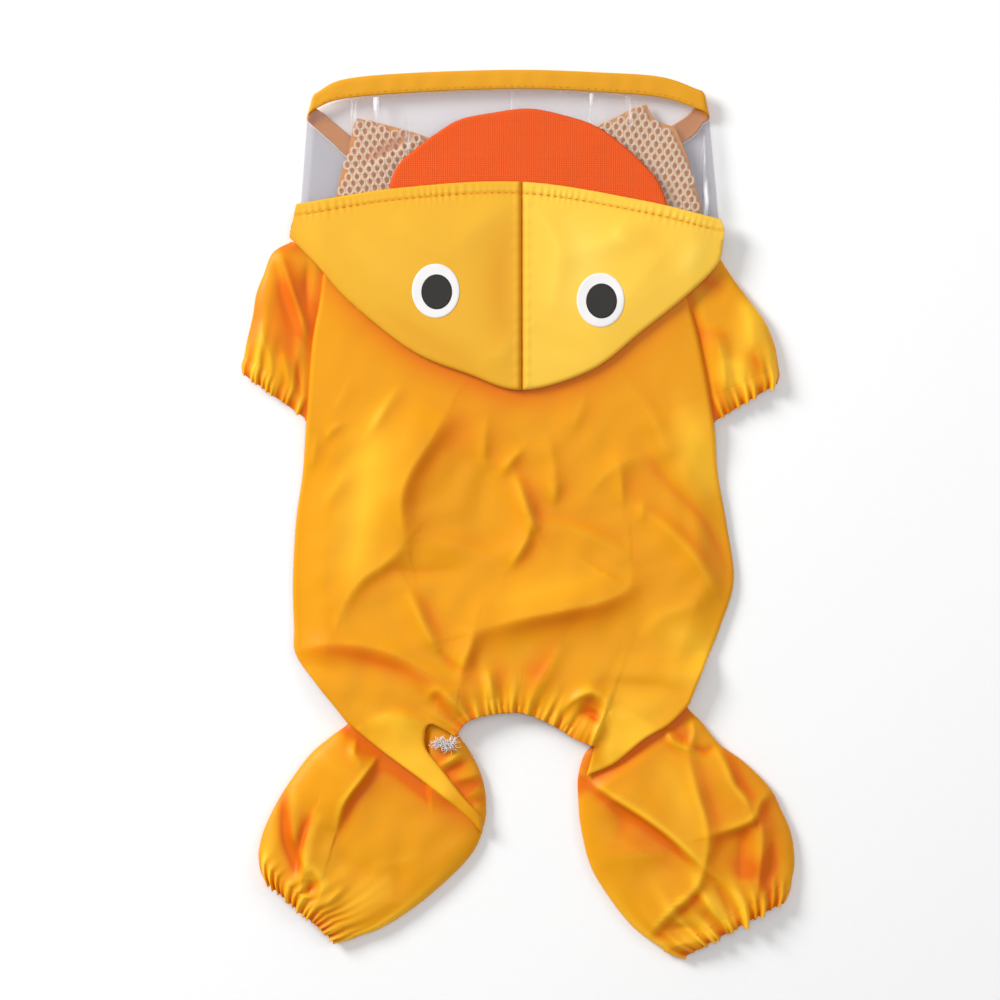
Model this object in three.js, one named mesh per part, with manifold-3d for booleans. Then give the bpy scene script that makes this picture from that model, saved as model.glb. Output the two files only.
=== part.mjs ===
// A small dog's hooded raincoat, laid flat on its belly with the hood pushed back over the shoulders.
// Millimetres. +X is the wearer's right side, +Y runs from the tail to the visor, +Z is up from the surface it lies on.
import * as THREE from "three";
import { mergeVertices } from "three/addons/utils/BufferGeometryUtils.js";
import Module from "manifold-3d";

const wasm = await Module();
wasm.setup();
const { Manifold, Mesh } = wasm;

// Driving dimensions
const CLOTH = 1.2; // wall of the coat cloth
const FILM = 1.0; // wall of the clear visor
const TAPE = 1.6; // bound edge: two layers of tape with the film's edge between
const SEAM = 0.3; // gap between two pieces that are sewn together
const BELLY = 1.0; // wall of the flat belly panels
const EDGE_R = 1.6; // half the height of a pressed fold at the side of a leg or sleeve
const VISOR_H = 6.0; // height of the visor's tube as it lies folded
const GATHER_TAIL = 24; // gathers along the tail elastic
const GATHER_SLEEVE = 13; // gathers on the upper side of a sleeve cuff
const GATHER_LEG = 17; // gathers on the upper side of a leg cuff
const EYE = { wide: 20.4, long: 23.2, pupilWide: 13.2, pupilLong: 15.0 };
const CROWN_X = 2.1; // the hood's crown seam
const CROWN_TOP = 9.1; // top of the hood along its crown

// Side edges of the back panel from the neck to the tail: top of the pressed edge, and top of the middle.
const BACK = [
  { y: 114, left: -80.4, right: 68.4, edge: 5.9, middle: 6.4 },
  { y: 102, left: -83.8, right: 71.0, edge: 5.9, middle: 6.4 },
  { y: 91, left: -85.1, right: 74.0, edge: 5.9, middle: 6.4 },
  { y: 73, left: -88.2, right: 78.7, edge: 5.9, middle: 6.3 },
  { y: 39, left: -90.7, right: 84.7, edge: 5.9, middle: 6.1 },
  { y: 18, left: -92.1, right: 86.3, edge: 3.4, middle: 5.6 },
  { y: -3, left: -95.0, right: 89.9, edge: 2.8, middle: 5.6 },
  { y: -28, left: -96.3, right: 93.1, edge: 2.8, middle: 5.4 },
  { y: -48, left: -95.8, right: 87.3, edge: 2.9, middle: 5.4 },
  { y: -60, left: -95.0, right: 82.6, edge: 3.4, middle: 5.6 },
  { y: -74, left: -85.1, right: 76.9, edge: 6.6, middle: 6.6 },
  { y: -81, left: -79.4, right: 74.0, edge: 7.3, middle: 7.3 },
  { y: -89, left: -73.1, right: 70.0, edge: 7.3, middle: 7.3 },
];
// Creases of the back panel, as ridges (height over 0) and troughs: ends, half width and height.
const BACK_FOLDS = [
  { fx: -31, fy: 42, tx: -49, ty: 9, wide: 6.5, high: 1.5 },
  { fx: -49, fy: 9, tx: -48, ty: -9, wide: 6.0, high: 1.2 },
  { fx: -44, fy: 51, tx: -62, ty: 36, wide: 5.0, high: -0.7 },
  { fx: 0, fy: 17, tx: 6, ty: -1, wide: 5.5, high: 1.2 },
  { fx: 6, fy: -1, tx: -3, ty: -22, wide: 5.5, high: 1.1 },
  { fx: 47, fy: 36, tx: 75, ty: 4, wide: 6.0, high: 1.2 },
  { fx: 75, fy: 4, tx: 88, ty: -22, wide: 5.5, high: 1.0 },
  { fx: 11, fy: -5, tx: 48, ty: -19, wide: 5.5, high: 1.3 },
  { fx: 48, fy: -27, tx: 13, ty: -41, wide: 6.0, high: 1.4 },
  { fx: 13, fy: -41, tx: -34, ty: -58, wide: 6.0, high: 1.3 },
  { fx: 13, fy: -49, tx: -26, ty: -63, wide: 5.0, high: -0.8 },
  { fx: -64, fy: -26, tx: -78, ty: -44, wide: 5.5, high: 1.1 },
  { fx: -46, fy: -33, tx: -23, ty: -68, wide: 5.5, high: 1.1 },
  { fx: -93, fy: -58, tx: -44, ty: -61, wide: 5.5, high: 1.0 },
  { fx: -44, fy: -61, tx: -28, ty: -77, wide: 5.5, high: 1.2 },
  { fx: -62, fy: -89, tx: -36, ty: -88, wide: 5.0, high: 0.9 },
  { fx: 24, fy: -81, tx: 42, ty: -77, wide: 5.0, high: 1.0 },
];
// Hind leg sections, thigh to cuff: outer fold, inner fold, and height of the upper layer.
const LEG_LEFT = [
  { ox: -70.0, oy: -80.0, ix: -30.0, iy: -84.0, rise: 4.0 },
  { ox: -71.8, oy: -88.6, ix: -25.6, iy: -93.7, rise: 4.2 },
  { ox: -80.0, oy: -95.2, ix: -20.2, iy: -101.6, rise: 4.6 },
  { ox: -88.6, oy: -102.6, ix: -15.6, iy: -111.0, rise: 5.2 },
  { ox: -97.2, oy: -114.0, ix: -13.3, iy: -122.5, rise: 6.0 },
  { ox: -103.6, oy: -124.3, ix: -14.4, iy: -134.0, rise: 5.9 },
  { ox: -108.8, oy: -135.4, ix: -20.6, iy: -147.1, rise: 6.2 },
  { ox: -110.7, oy: -142.6, ix: -39.1, iy: -164.7, rise: 6.2 },
  { ox: -111.1, oy: -145.6, ix: -57.0, iy: -176.8, rise: 6.0 },
  { ox: -111.0, oy: -148.2, ix: -70.5, iy: -181.8, rise: 6.2 },
];
const LEG_LEFT_CUFF = [
  { ox: -110.8, oy: -148.7, ix: -70.9, iy: -182.2, rise: 6.0 },
  { ox: -110.4, oy: -152.4, ix: -74.4, iy: -183.2, rise: 5.4 },
  { ox: -108.4, oy: -157.2, ix: -78.2, iy: -183.6, rise: 5.0 },
];
const LEG_RIGHT = [
  { ox: 71.0, oy: -76.0, ix: 38.0, iy: -84.0, rise: 4.0 },
  { ox: 73.5, oy: -83.0, ix: 33.4, iy: -97.0, rise: 4.2 },
  { ox: 79.1, oy: -88.8, ix: 28.6, iy: -103.6, rise: 4.8 },
  { ox: 87.0, oy: -98.4, ix: 26.2, iy: -113.0, rise: 5.6 },
  { ox: 97.2, oy: -105.8, ix: 26.3, iy: -122.0, rise: 5.8 },
  { ox: 108.4, oy: -117.0, ix: 27.2, iy: -132.6, rise: 6.1 },
  { ox: 113.4, oy: -126.4, ix: 30.6, iy: -147.9, rise: 6.2 },
  { ox: 117.8, oy: -137.0, ix: 36.4, iy: -159.6, rise: 6.2 },
  { ox: 119.2, oy: -148.8, ix: 49.2, iy: -176.4, rise: 6.0 },
  { ox: 118.2, oy: -156.2, ix: 64.0, iy: -187.6, rise: 6.2 },
];
const LEG_RIGHT_CUFF = [
  { ox: 118.0, oy: -156.8, ix: 64.4, iy: -188.1, rise: 6.0 },
  { ox: 117.4, oy: -161.2, ix: 67.6, iy: -189.4, rise: 5.4 },
  { ox: 115.6, oy: -165.8, ix: 71.2, iy: -190.4, rise: 5.0 },
];
// Largest folds of the hind legs
const LEG_FOLDS = [
  { fx: -60, fy: -104, tx: -74, ty: -124, wide: 6.0, high: 1.3 },
  { fx: -98, fy: -120, tx: -92, ty: -148, wide: 5.0, high: 1.3 },
  { fx: -87, fy: -130, tx: -92, ty: -158, wide: 4.5, high: -1.0 },
  { fx: -80, fy: -150, tx: -84, ty: -170, wide: 4.5, high: 1.4 },
  { fx: 31, fy: -115, tx: 66, ty: -139, wide: 5.0, high: 1.6 },
  { fx: 66, fy: -139, tx: 79, ty: -152, wide: 5.0, high: 1.4 },
  { fx: 74, fy: -106, tx: 83, ty: -140, wide: 5.0, high: 1.8 },
  { fx: 82, fy: -150, tx: 58, ty: -180, wide: 5.5, high: 1.8 },
  { fx: 84, fy: -102, tx: 100, ty: -128, wide: 5.0, high: 1.4 },
  { fx: 108, fy: -120, tx: 84, ty: -136, wide: 5.0, high: 1.4 },
  { fx: 103, fy: -140, tx: 101, ty: -166, wide: 4.5, high: 1.3 },
  { fx: 92, fy: -148, tx: 94, ty: -168, wide: 4.5, high: -1.0 },
];
// Lines where the back's cloth folds over the thighs
const THIGH_LEFT = { fx: -73, fy: -89, tx: -15, ty: -135 };
const THIGH_RIGHT = { fx: 74, fy: -81, tx: 29, ty: -113 };
// Sleeve sections, shoulder to cuff; the inner fold lies under the back's edge.
const SLEEVE_LEFT = [
  { ox: -97.0, oy: 117.4, ix: -79.0, iy: 112.6, rise: 4.0 },
  { ox: -104.9, oy: 112.7, ix: -79.0, iy: 101.0, rise: 4.2 },
  { ox: -108.9, oy: 103.2, ix: -79.4, iy: 90.0, rise: 4.8 },
  { ox: -112.0, oy: 95.0, ix: -80.0, iy: 80.0, rise: 5.2 },
  { ox: -113.6, oy: 85.1, ix: -80.5, iy: 68.0, rise: 5.4 },
  { ox: -115.8, oy: 75.7, ix: -81.0, iy: 56.0, rise: 5.4 },
  { ox: -117.2, oy: 68.2, ix: -81.6, iy: 44.6, rise: 5.0 },
];
const SLEEVE_LEFT_CUFF = [
  { ox: -117.3, oy: 67.6, ix: -81.8, iy: 44.1, rise: 4.9 },
  { ox: -118.3, oy: 64.6, ix: -83.4, iy: 40.6, rise: 4.4 },
  { ox: -118.2, oy: 61.0, ix: -85.4, iy: 37.6, rise: 4.0 },
];
const SLEEVE_RIGHT = [
  { ox: 86.4, oy: 111.4, ix: 66.0, iy: 106.6, rise: 4.0 },
  { ox: 93.3, oy: 100.8, ix: 66.4, iy: 96.0, rise: 4.2 },
  { ox: 100.2, oy: 91.8, ix: 68.0, iy: 85.0, rise: 4.8 },
  { ox: 106.6, oy: 83.0, ix: 70.0, iy: 74.0, rise: 5.4 },
  { ox: 110.6, oy: 73.1, ix: 72.0, iy: 62.0, rise: 5.6 },
  { ox: 112.2, oy: 64.4, ix: 74.0, iy: 46.4, rise: 5.2 },
];
const SLEEVE_RIGHT_CUFF = [
  { ox: 112.3, oy: 63.8, ix: 74.3, iy: 45.8, rise: 5.0 },
  { ox: 112.8, oy: 60.4, ix: 76.6, iy: 41.0, rise: 4.4 },
  { ox: 112.0, oy: 56.6, ix: 79.2, iy: 36.8, rise: 4.0 },
];
const SLEEVE_FOLDS = [
  { fx: -101, fy: 112, tx: -90, ty: 78, wide: 4.0, high: 1.4 },
  { fx: -106, fy: 92, tx: -103, ty: 70, wide: 4.5, high: -0.8 },
  { fx: 104, fy: 84, tx: 101, ty: 60, wide: 4.5, high: 1.0 },
  { fx: 92, fy: 74, tx: 88, ty: 50, wide: 4.5, high: -0.9 },
];
// Visor sections from the left fold to the right one, over the top: seam under the hood, film's edge, tape's edge.
const VISOR_TOP = [
  { sx: -90.3, sy: 129.5, fx: -87.2, fy: 173.8, tx: -86.8, ty: 180.6 },
  { sx: -72.0, sy: 133.0, fx: -75.0, fy: 178.3, tx: -74.4, ty: 186.8 },
  { sx: -40.0, sy: 137.5, fx: -45.0, fy: 181.0, tx: -45.0, ty: 189.6 },
  { sx: 0.0, sy: 139.0, fx: 0.0, fy: 182.7, tx: 0.0, ty: 190.9 },
  { sx: 40.0, sy: 133.0, fx: 35.0, fy: 181.3, tx: 35.0, ty: 189.8 },
  { sx: 66.0, sy: 127.5, fx: 62.0, fy: 178.9, tx: 62.0, ty: 187.8 },
  { sx: 84.4, sy: 121.5, fx: 79.4, fy: 173.4, tx: 79.4, ty: 181.8 },
];
// The same below, where the opening under the chin is cut back.
const VISOR_UNDER = [
  { sx: -90.3, sy: 127.0, fx: -87.2, fy: 166.8, tx: -82.8, ty: 172.6 },
  { sx: -80.0, sy: 127.0, fx: -79.5, fy: 160.0, tx: -77.0, ty: 167.3 },
  { sx: -68.0, sy: 127.0, fx: -69.0, fy: 151.6, tx: -66.0, ty: 159.6 },
  { sx: -40.0, sy: 127.0, fx: -40.0, fy: 141.0, tx: -40.0, ty: 149.0 },
  { sx: 0.0, sy: 127.0, fx: 0.0, fy: 137.0, tx: 0.0, ty: 145.0 },
  { sx: 40.0, sy: 127.0, fx: 40.0, fy: 143.0, tx: 40.0, ty: 151.0 },
  { sx: 64.0, sy: 125.0, fx: 66.0, fy: 156.8, tx: 62.0, ty: 164.4 },
  { sx: 75.0, sy: 123.0, fx: 76.5, fy: 163.6, tx: 72.0, ty: 170.8 },
  { sx: 84.4, sy: 119.5, fx: 79.8, fy: 168.2, tx: 75.8, ty: 174.4 },
];

const clamp = (v, a, b) => Math.min(b, Math.max(a, v));
const smooth = (a, b, v) => {
  const t = clamp((v - a) / (b - a), 0, 1);
  return t * t * (3 - 2 * t);
};

// Smooth value of a table's column at a place along its key column.
function along(rows, key, column, v) {
  const n = rows.length;
  const up = rows[n - 1][key] > rows[0][key] ? 1 : -1;
  let i = 0;
  while (i < n - 2 && (v - rows[i + 1][key]) * up > 0) i++;
  const [a, b] = [rows[i], rows[i + 1]];
  const slope = (p, q) => (q[column] - p[column]) / (q[key] - p[key]);
  const m0 = slope(rows[Math.max(0, i - 1)], b);
  const m1 = slope(a, rows[Math.min(n - 1, i + 2)]);
  const h = b[key] - a[key];
  const t = clamp((v - a[key]) / h, 0, 1);
  const [t2, t3] = [t * t, t * t * t];
  return (
    (2 * t3 - 3 * t2 + 1) * a[column] +
    (t3 - 2 * t2 + t) * h * m0 +
    (3 * t2 - 2 * t3) * b[column] +
    (t3 - t2) * h * m1
  );
}

// Height that a table of creases adds at a point.
function creases(folds, x, y) {
  let z = 0;
  for (const f of folds) {
    const [dx, dy] = [f.tx - f.fx, f.ty - f.fy];
    const t = clamp(((x - f.fx) * dx + (y - f.fy) * dy) / (dx * dx + dy * dy), 0, 1);
    const d = Math.hypot(x - f.fx - t * dx, y - f.fy - t * dy) / f.wide;
    z += f.high * Math.exp(-d * d) * (0.5 + 0.5 * Math.sin(Math.PI * (0.1 + 0.8 * t)));
  }
  return z;
}

// How far a point lies on the tail side of a line.
function below(line, x, y) {
  const [dx, dy] = [line.tx - line.fx, line.ty - line.fy];
  const side = (dx * (y - line.fy) - dy * (x - line.fx)) / Math.hypot(dx, dy);
  return dx > 0 ? -side : side;
}

const round = (points, pieces) =>
  new THREE.SplineCurve(points.map(([x, y]) => new THREE.Vector2(x, y)))
    .getSpacedPoints(pieces)
    .map((p) => [p.x, p.y]);

// A flat outline that runs anticlockwise, without doubled points.
function outlineOf(points) {
  const clean = points.filter(
    (p, i) => Math.hypot(p[0] - points.at(i - 1)[0], p[1] - points.at(i - 1)[1]) > 0.05,
  );
  const clockwise = THREE.ShapeUtils.isClockWise(clean.map(([x, y]) => ({ x, y })));
  return clockwise ? clean.reverse() : clean;
}

// The same outline drawn in by a distance.
function drawnIn(outline, distance) {
  const n = outline.length;
  return outline.map(([x, y], i) => {
    const [a, b] = [outline[(i + n - 1) % n], outline[(i + 1) % n]];
    const l = Math.hypot(b[0] - a[0], b[1] - a[1]);
    return [x - (distance * (b[1] - a[1])) / l, y + (distance * (b[0] - a[0])) / l];
  });
}

function solidOf(geometry) {
  geometry.deleteAttribute("normal");
  geometry.deleteAttribute("uv");
  const merged = mergeVertices(geometry, 1e-4);
  return new Manifold(
    new Mesh({
      numProp: 3,
      vertProperties: new Float32Array(merged.attributes.position.array),
      triVerts: new Uint32Array(merged.index.array),
    }),
  );
}

function prism(outline, low = -2, high = 30) {
  const shape = new THREE.Shape(outline.map(([x, y]) => new THREE.Vector2(x, y)));
  const geometry = new THREE.ExtrudeGeometry(shape, { depth: high - low, bevelEnabled: false });
  return solidOf(geometry.translate(0, 0, low));
}

function closed(positions, triangles) {
  const made = new Manifold(
    new Mesh({
      numProp: 3,
      vertProperties: new Float32Array(positions.flat()),
      triVerts: new Uint32Array(triangles.flat()),
    }),
  );
  if (made.volume() > 0) return made;
  return closed(positions, triangles.map(([a, b, c]) => [a, c, b]));
}

// A cloth panel as it lies: a wall between two height functions, cut to a flat outline.
function laid(outline, pitch, top, under) {
  const [min, max] = [Math.min, Math.max].map((f) => [0, 1].map((k) => f(...outline.map((p) => p[k]))));
  const [nx, ny] = [0, 1].map((k) => Math.ceil((max[k] - min[k] + 2) / pitch));
  const positions = [];
  for (const height of [top, under])
    for (let j = 0; j <= ny; j++)
      for (let i = 0; i <= nx; i++) {
        const x = min[0] - 1 + (i / nx) * (max[0] - min[0] + 2);
        const y = min[1] - 1 + (j / ny) * (max[1] - min[1] + 2);
        positions.push([x, y, height(x, y)]);
      }
  const layer = (nx + 1) * (ny + 1);
  const at = (i, j) => j * (nx + 1) + i;
  const triangles = [];
  for (let j = 0; j < ny; j++)
    for (let i = 0; i < nx; i++) {
      const [a, b, c, d] = [at(i, j), at(i + 1, j), at(i + 1, j + 1), at(i, j + 1)];
      const bend = (p, q) => Math.abs(positions[p][2] - positions[q][2]);
      const split = bend(a, c) < bend(b, d) ? [[a, b, c], [a, c, d]] : [[a, b, d], [b, c, d]];
      for (const [p, q, r] of split) {
        triangles.push([p, q, r]);
        triangles.push([p + layer, r + layer, q + layer]);
      }
    }
  const rim = [];
  for (let i = 0; i < nx; i++) rim.push([at(i, 0), at(i + 1, 0)], [at(i + 1, ny), at(i, ny)]);
  for (let j = 0; j < ny; j++) rim.push([at(nx, j), at(nx, j + 1)], [at(0, j + 1), at(0, j)]);
  for (const [p, q] of rim) triangles.push([p, q + layer, q], [p, p + layer, q + layer]);
  return closed(positions, triangles).intersect(prism(outline));
}

// A tube wall through matching rings, each with an outer and an inner loop; open at both ends.
function tube(rings) {
  const n = rings[0].outer.length;
  const m = rings.length;
  const positions = [...rings.flatMap((r) => r.outer), ...rings.flatMap((r) => r.inner)];
  const at = (layer, j, i) => layer * n * m + j * n + (i % n);
  const triangles = [];
  const quad = (a, b, c, d) => triangles.push([a, b, c], [a, c, d]);
  for (let i = 0; i < n; i++) {
    for (let j = 0; j < m - 1; j++) {
      quad(at(0, j, i), at(0, j, i + 1), at(0, j + 1, i + 1), at(0, j + 1, i));
      quad(at(1, j, i + 1), at(1, j, i), at(1, j + 1, i), at(1, j + 1, i + 1));
    }
    quad(at(0, 0, i + 1), at(0, 0, i), at(1, 0, i), at(1, 0, i + 1));
    quad(at(0, m - 1, i), at(0, m - 1, i + 1), at(1, m - 1, i + 1), at(1, m - 1, i));
  }
  return closed(positions, triangles);
}

// One section of a leg or sleeve pressed flat: a ring with a flat underside, folded at both ends.
// A ridge thickens the wall, so the layers inside stay close together.
function pressed(row, across, beneath, wall, top) {
  const width = Math.hypot(row.ix - row.ox, row.iy - row.oy);
  const loop = (inset) => {
    const points = [];
    const place = (c, upper) => {
      const s = inset / width + c * (1 - (2 * inset) / width);
      const x = row.ox + s * (row.ix - row.ox);
      const y = row.oy + s * (row.iy - row.oy);
      const full = Math.sqrt(1 - Math.abs(2 * c - 1) ** 5);
      const height = Math.max(top(x, y, row, s, inset > 0), 2 * wall + 0.7);
      const z = upper
        ? EDGE_R + (height - EDGE_R - inset) * full
        : EDGE_R - (EDGE_R - inset) * full;
      points.push([x, y, z]);
    };
    const spread = (k, n) => (1 - Math.cos((Math.PI * k) / n)) / 2;
    for (let k = 0; k <= across; k++) place(spread(k, across), true);
    for (let k = 1; k < beneath; k++) place(1 - spread(k, beneath), false);
    return points;
  };
  return { outer: loop(0), inner: loop(wall) };
}

const legTop = (x, y, row, s, inside) => {
  const line = x < 0 ? THIGH_LEFT : THIGH_RIGHT;
  const free = smooth(1, 12, below(line, x, y));
  const low = Math.min(row.rise, 4.2);
  const fold = creases(LEG_FOLDS, x, y);
  return low + free * (row.rise - low + (inside ? Math.min(0, fold) : fold));
};
const sleeveTop = (x, y, row, s, inside) => {
  const hidden = along(BACK, "y", x < 0 ? "left" : "right", y);
  const free = smooth(-1, 7, Math.abs(x) - Math.abs(hidden)) * smooth(118, 108, y);
  const low = Math.min(row.rise, 4.0);
  const fold = creases(SLEEVE_FOLDS, x, y);
  return low + free * (row.rise - low + (inside ? Math.min(0, fold) : fold));
};
// Gathers over an elastic: alternate crests and hollows that open out towards the leg.
const gathered = (count, deep, base) => (x, y, row, s) => {
  const even = Math.acos(1 - 2 * clamp(s, 0, 1)) / Math.PI;
  return base(x, y, row) + deep * (Math.round(even * 2 * count) % 2 ? 1 : -1);
};

function limb(rows, top) {
  return tube(rows.map((row) => pressed(row, 16, 10, CLOTH, top)));
}
function cuff(rows, count, deep, base) {
  return tube(rows.map((row) => pressed(row, 2 * count, 10, CLOTH, gathered(count, deep, base))));
}
const legCuffTop = (x, y, row) => row.rise;
const sleeveCuffTop = (x, y, row) => {
  const hidden = along(BACK, "y", x < 0 ? "left" : "right", y);
  const low = Math.min(row.rise, 3.9);
  return low + (row.rise - low) * smooth(0, 6, Math.abs(x) - Math.abs(hidden));
};

// The back panel's upper face: pressed side edges, a fuller middle, lifted where it lies over the thighs.
function backTop(x, y, inside = false) {
  const row = (name) => along(BACK, "y", name, clamp(y, -89, 114));
  const amid = smooth(0, 15, Math.min(x - row("left"), row("right") - x));
  const plain = row("edge") + (row("middle") - row("edge")) * amid;
  const overLeft = smooth(-8, -22, x) * smooth(-64, -77, y);
  const overRight = smooth(18, 31, x) * smooth(-58, -71, y);
  const over = Math.max(overLeft, overRight);
  const tail = smooth(-70, -86, y) * (1 - over);
  const hood = smooth(40, 22, y);
  const fold = creases(BACK_FOLDS, x, y) * (0.3 + 0.7 * hood);
  return plain * (1 - over) + 7.3 * over - 2.0 * tail + (inside ? Math.min(0, fold) : fold);
}

const HEM = round([[-26.2, -95], [-21.1, -88.6], [-10.3, -85.6], [2.1, -85.1], [14.6, -89.9], [24.5, -95.9], [33.1, -99.3]], 40);
const BACK_SHAPE = outlineOf([
  ...round([[-80.4, 114], [-40, 108], [0, 106], [40, 108], [68.4, 114]], 8),
  ...round(BACK.slice(1, -1).map((r) => [r.right, r.y]), 22),
  ...round([[74, -81.3], [65.4, -89.9], [54.6, -96.3], [41.7, -106.6], [29.7, -112]], 9),
  ...[...HEM].reverse(),
  ...round([[-26.2, -95], [-36, -93], [-38.7, -98.9], [-33.5, -107.1], [-22.4, -121.3], [-15.6, -129], [-15, -136.7]], 10),
  ...round([[-15, -136.7], [-23.2, -128.1], [-40.9, -114], [-58.5, -101], [-73.1, -89]], 9),
  ...round(BACK.slice(1, -1).map((r) => [r.left, r.y]), 22).reverse(),
]);

// Elastic in its casing along the tail edge: a band of crests and hollows, wider at the crests.
function tailBand() {
  const line = round(HEM, 2 * GATHER_TAIL);
  const positions = [];
  const triangles = [];
  const room = { outer: [], inner: [] };
  line.forEach(([x, y], k) => {
    const crest = k % 2 ? 1 : -1;
    const [a, b] = [line[Math.max(0, k - 1)], line[Math.min(line.length - 1, k + 1)]];
    const l = Math.hypot(b[0] - a[0], b[1] - a[1]);
    const [nx, ny] = [-(b[1] - a[1]) / l, (b[0] - a[0]) / l];
    const z = backTop(x, y);
    const deep = 5.2 * smooth(-1, 3, k) * smooth(line.length, line.length - 4, k) + 0.8;
    room.outer.push([x - 1.2 * nx, y - 1.2 * ny]);
    room.inner.push([x + (deep + SEAM) * nx, y + (deep + SEAM) * ny]);
    positions.push(
      [x - 0.25 * crest * nx, y - 0.25 * crest * ny, z + 0.5 * crest],
      [x + deep * nx, y + deep * ny, backTop(x + deep * nx, y + deep * ny) + 0.4 * crest],
      [x + deep * nx, y + deep * ny, backTop(x + deep * nx, y + deep * ny) + 0.4 * crest - CLOTH],
      [x - 0.25 * crest * nx, y - 0.25 * crest * ny, z + 0.5 * crest - CLOTH],
    );
  });
  const last = line.length - 1;
  for (let k = 0; k < last; k++)
    for (let i = 0; i < 4; i++) {
      const [a, b] = [4 * k + i, 4 * k + ((i + 1) % 4)];
      triangles.push([a, b, b + 4], [a, b + 4, a + 4]);
    }
  triangles.push([0, 2, 1], [0, 3, 2]);
  triangles.push([4 * last, 4 * last + 1, 4 * last + 2], [4 * last, 4 * last + 2, 4 * last + 3]);
  const [first, end] = [room.inner[0], room.inner.at(-1)];
  const outline = outlineOf([
    ...room.outer,
    [end[0] + 0.4, end[1] - 0.6],
    ...room.inner.slice(1, -1).reverse(),
    [first[0] - 0.4, first[1] - 0.6],
  ]);
  return { solid: closed(positions, triangles), room: prism(outline) };
}
const tail = tailBand();
const back = laid(BACK_SHAPE, 7.2, backTop, (x, y) => backTop(x, y, true) - CLOTH).subtract(tail.room);

// Belly: two flat panels that overlap down the middle, with the fastening strip in the overlap.
const BELLY_TOP = 106;
const LAP = { left: -7, right: 7 };
const bellyEdge = {
  left: [[-78.4, BELLY_TOP], [-78.6, 90], [-79.8, 68], [-81, 46], [-85, 34], [-90.6, 26], [-93.6, -3], [-94.9, -28], [-94, -58], [-84, -72], [-71, -79.5], [-29.9, -83.6]],
  right: [[65.4, BELLY_TOP], [65.8, 96], [67.4, 85], [71.4, 62], [73.4, 46], [78, 34], [84.6, 26], [88.6, -3], [91.8, -26], [86, -48], [79, -68], [70.9, -75.6], [37.9, -83.6]],
};
const bellyLeft = laid(outlineOf([...bellyEdge.left, [LAP.right, -83], [LAP.right, BELLY_TOP]]), 60, () => BELLY, () => 0);
const lapped = (x) => (BELLY + 1.0 + 2 * SEAM) * smooth(LAP.right + 5, LAP.right + 1, x);
const bellyRight = (() => {
  const outline = outlineOf([...bellyEdge.right, [LAP.left, -83], [LAP.left, BELLY_TOP]]);
  const stepLine = [LAP.left - 1, LAP.right + 0.8, LAP.right + 2, LAP.right + 3.5, LAP.right + 5, 95];
  const positions = [];
  for (const lift of [BELLY, 0])
    for (const y of [-90, 112]) for (const x of stepLine) positions.push([x, y, lapped(x) + lift]);
  const n = stepLine.length;
  const triangles = [];
  const at = (layer, j, i) => layer * 2 * n + j * n + i;
  const quad = (a, b, c, d) => triangles.push([a, b, c], [a, c, d]);
  for (let i = 0; i < n - 1; i++) {
    quad(at(0, 0, i), at(0, 0, i + 1), at(0, 1, i + 1), at(0, 1, i));
    quad(at(1, 0, i + 1), at(1, 0, i), at(1, 1, i), at(1, 1, i + 1));
    quad(at(1, 0, i), at(1, 0, i + 1), at(0, 0, i + 1), at(0, 0, i));
    quad(at(0, 1, i), at(0, 1, i + 1), at(1, 1, i + 1), at(1, 1, i));
  }
  quad(at(0, 0, 0), at(0, 1, 0), at(1, 1, 0), at(1, 0, 0));
  quad(at(0, 1, n - 1), at(0, 0, n - 1), at(1, 0, n - 1), at(1, 1, n - 1));
  return closed(positions, triangles).intersect(prism(outline));
})();
const strip = solidOf(
  new THREE.BoxGeometry(2 * (LAP.right - 1.5), 150, 1.0).translate(0, 15, BELLY + SEAM + 0.5),
);

// Throat: one panel from the belly's neck edge, over the visor's lower edge, to its two front corners.
const throatLow = (x, y) => 2.0 * smooth(110, 121, y);
const THROAT_SHAPE = outlineOf([
  [-78.2, BELLY_TOP + SEAM],
  [-78.4, 114],
  [-83, 124],
  ...round([[-78, 135.4], [-75.7, 146.2], [-72.7, 155.2], [-71, 163.4], [-69.7, 170.5]], 6),
  ...round([[-69.7, 170.5], [-58.5, 168.1], [-41.7, 163.4], [-20, 155], [0, 152], [20, 156], [36.5, 168.1]], 10),
  ...round([[36.5, 168.1], [42.6, 170.7], [49, 174.2], [55.5, 176.3]], 4),
  ...round([[55.5, 176.3], [59.3, 169.8], [67.9, 166.4]], 3),
  ...round([[67.9, 166.4], [73.1, 153.9], [76.5, 141], [79.5, 132]], 5),
  [77, 122],
  [65.2, BELLY_TOP + SEAM],
]);
const throat = laid(THROAT_SHAPE, 12, (x, y) => throatLow(x, y) + 1.0, throatLow);

// Net lining at the two corners, on the throat panel and folded once at the left.
const netFold = [{ fx: -43, fy: 160, tx: -61, ty: 144, wide: 3.2, high: 0.6 }];
const netTop = (x, y) => throatLow(x, y) + 1.0 + SEAM + 0.9 - 0.5 + creases(netFold, x, y) * 0.7;
const netUnder = (x, y) => throatLow(x, y) + 1.0 + SEAM;
const leftCorner = outlineOf([[-95, 128], [-95, 180], [-36, 180], [-36, 128]]);
const rightCorner = outlineOf([[34, 124], [34, 180], [95, 180], [95, 124]]);
const net = (corner, pitch) =>
  laid(drawnIn(THROAT_SHAPE, 0.4), pitch, (x, y) => netTop(x, y) + 0.5, netUnder).intersect(prism(corner));
const liningLeft = net(leftCorner, 5);
const liningRight = net(rightCorner, 7);

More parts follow.
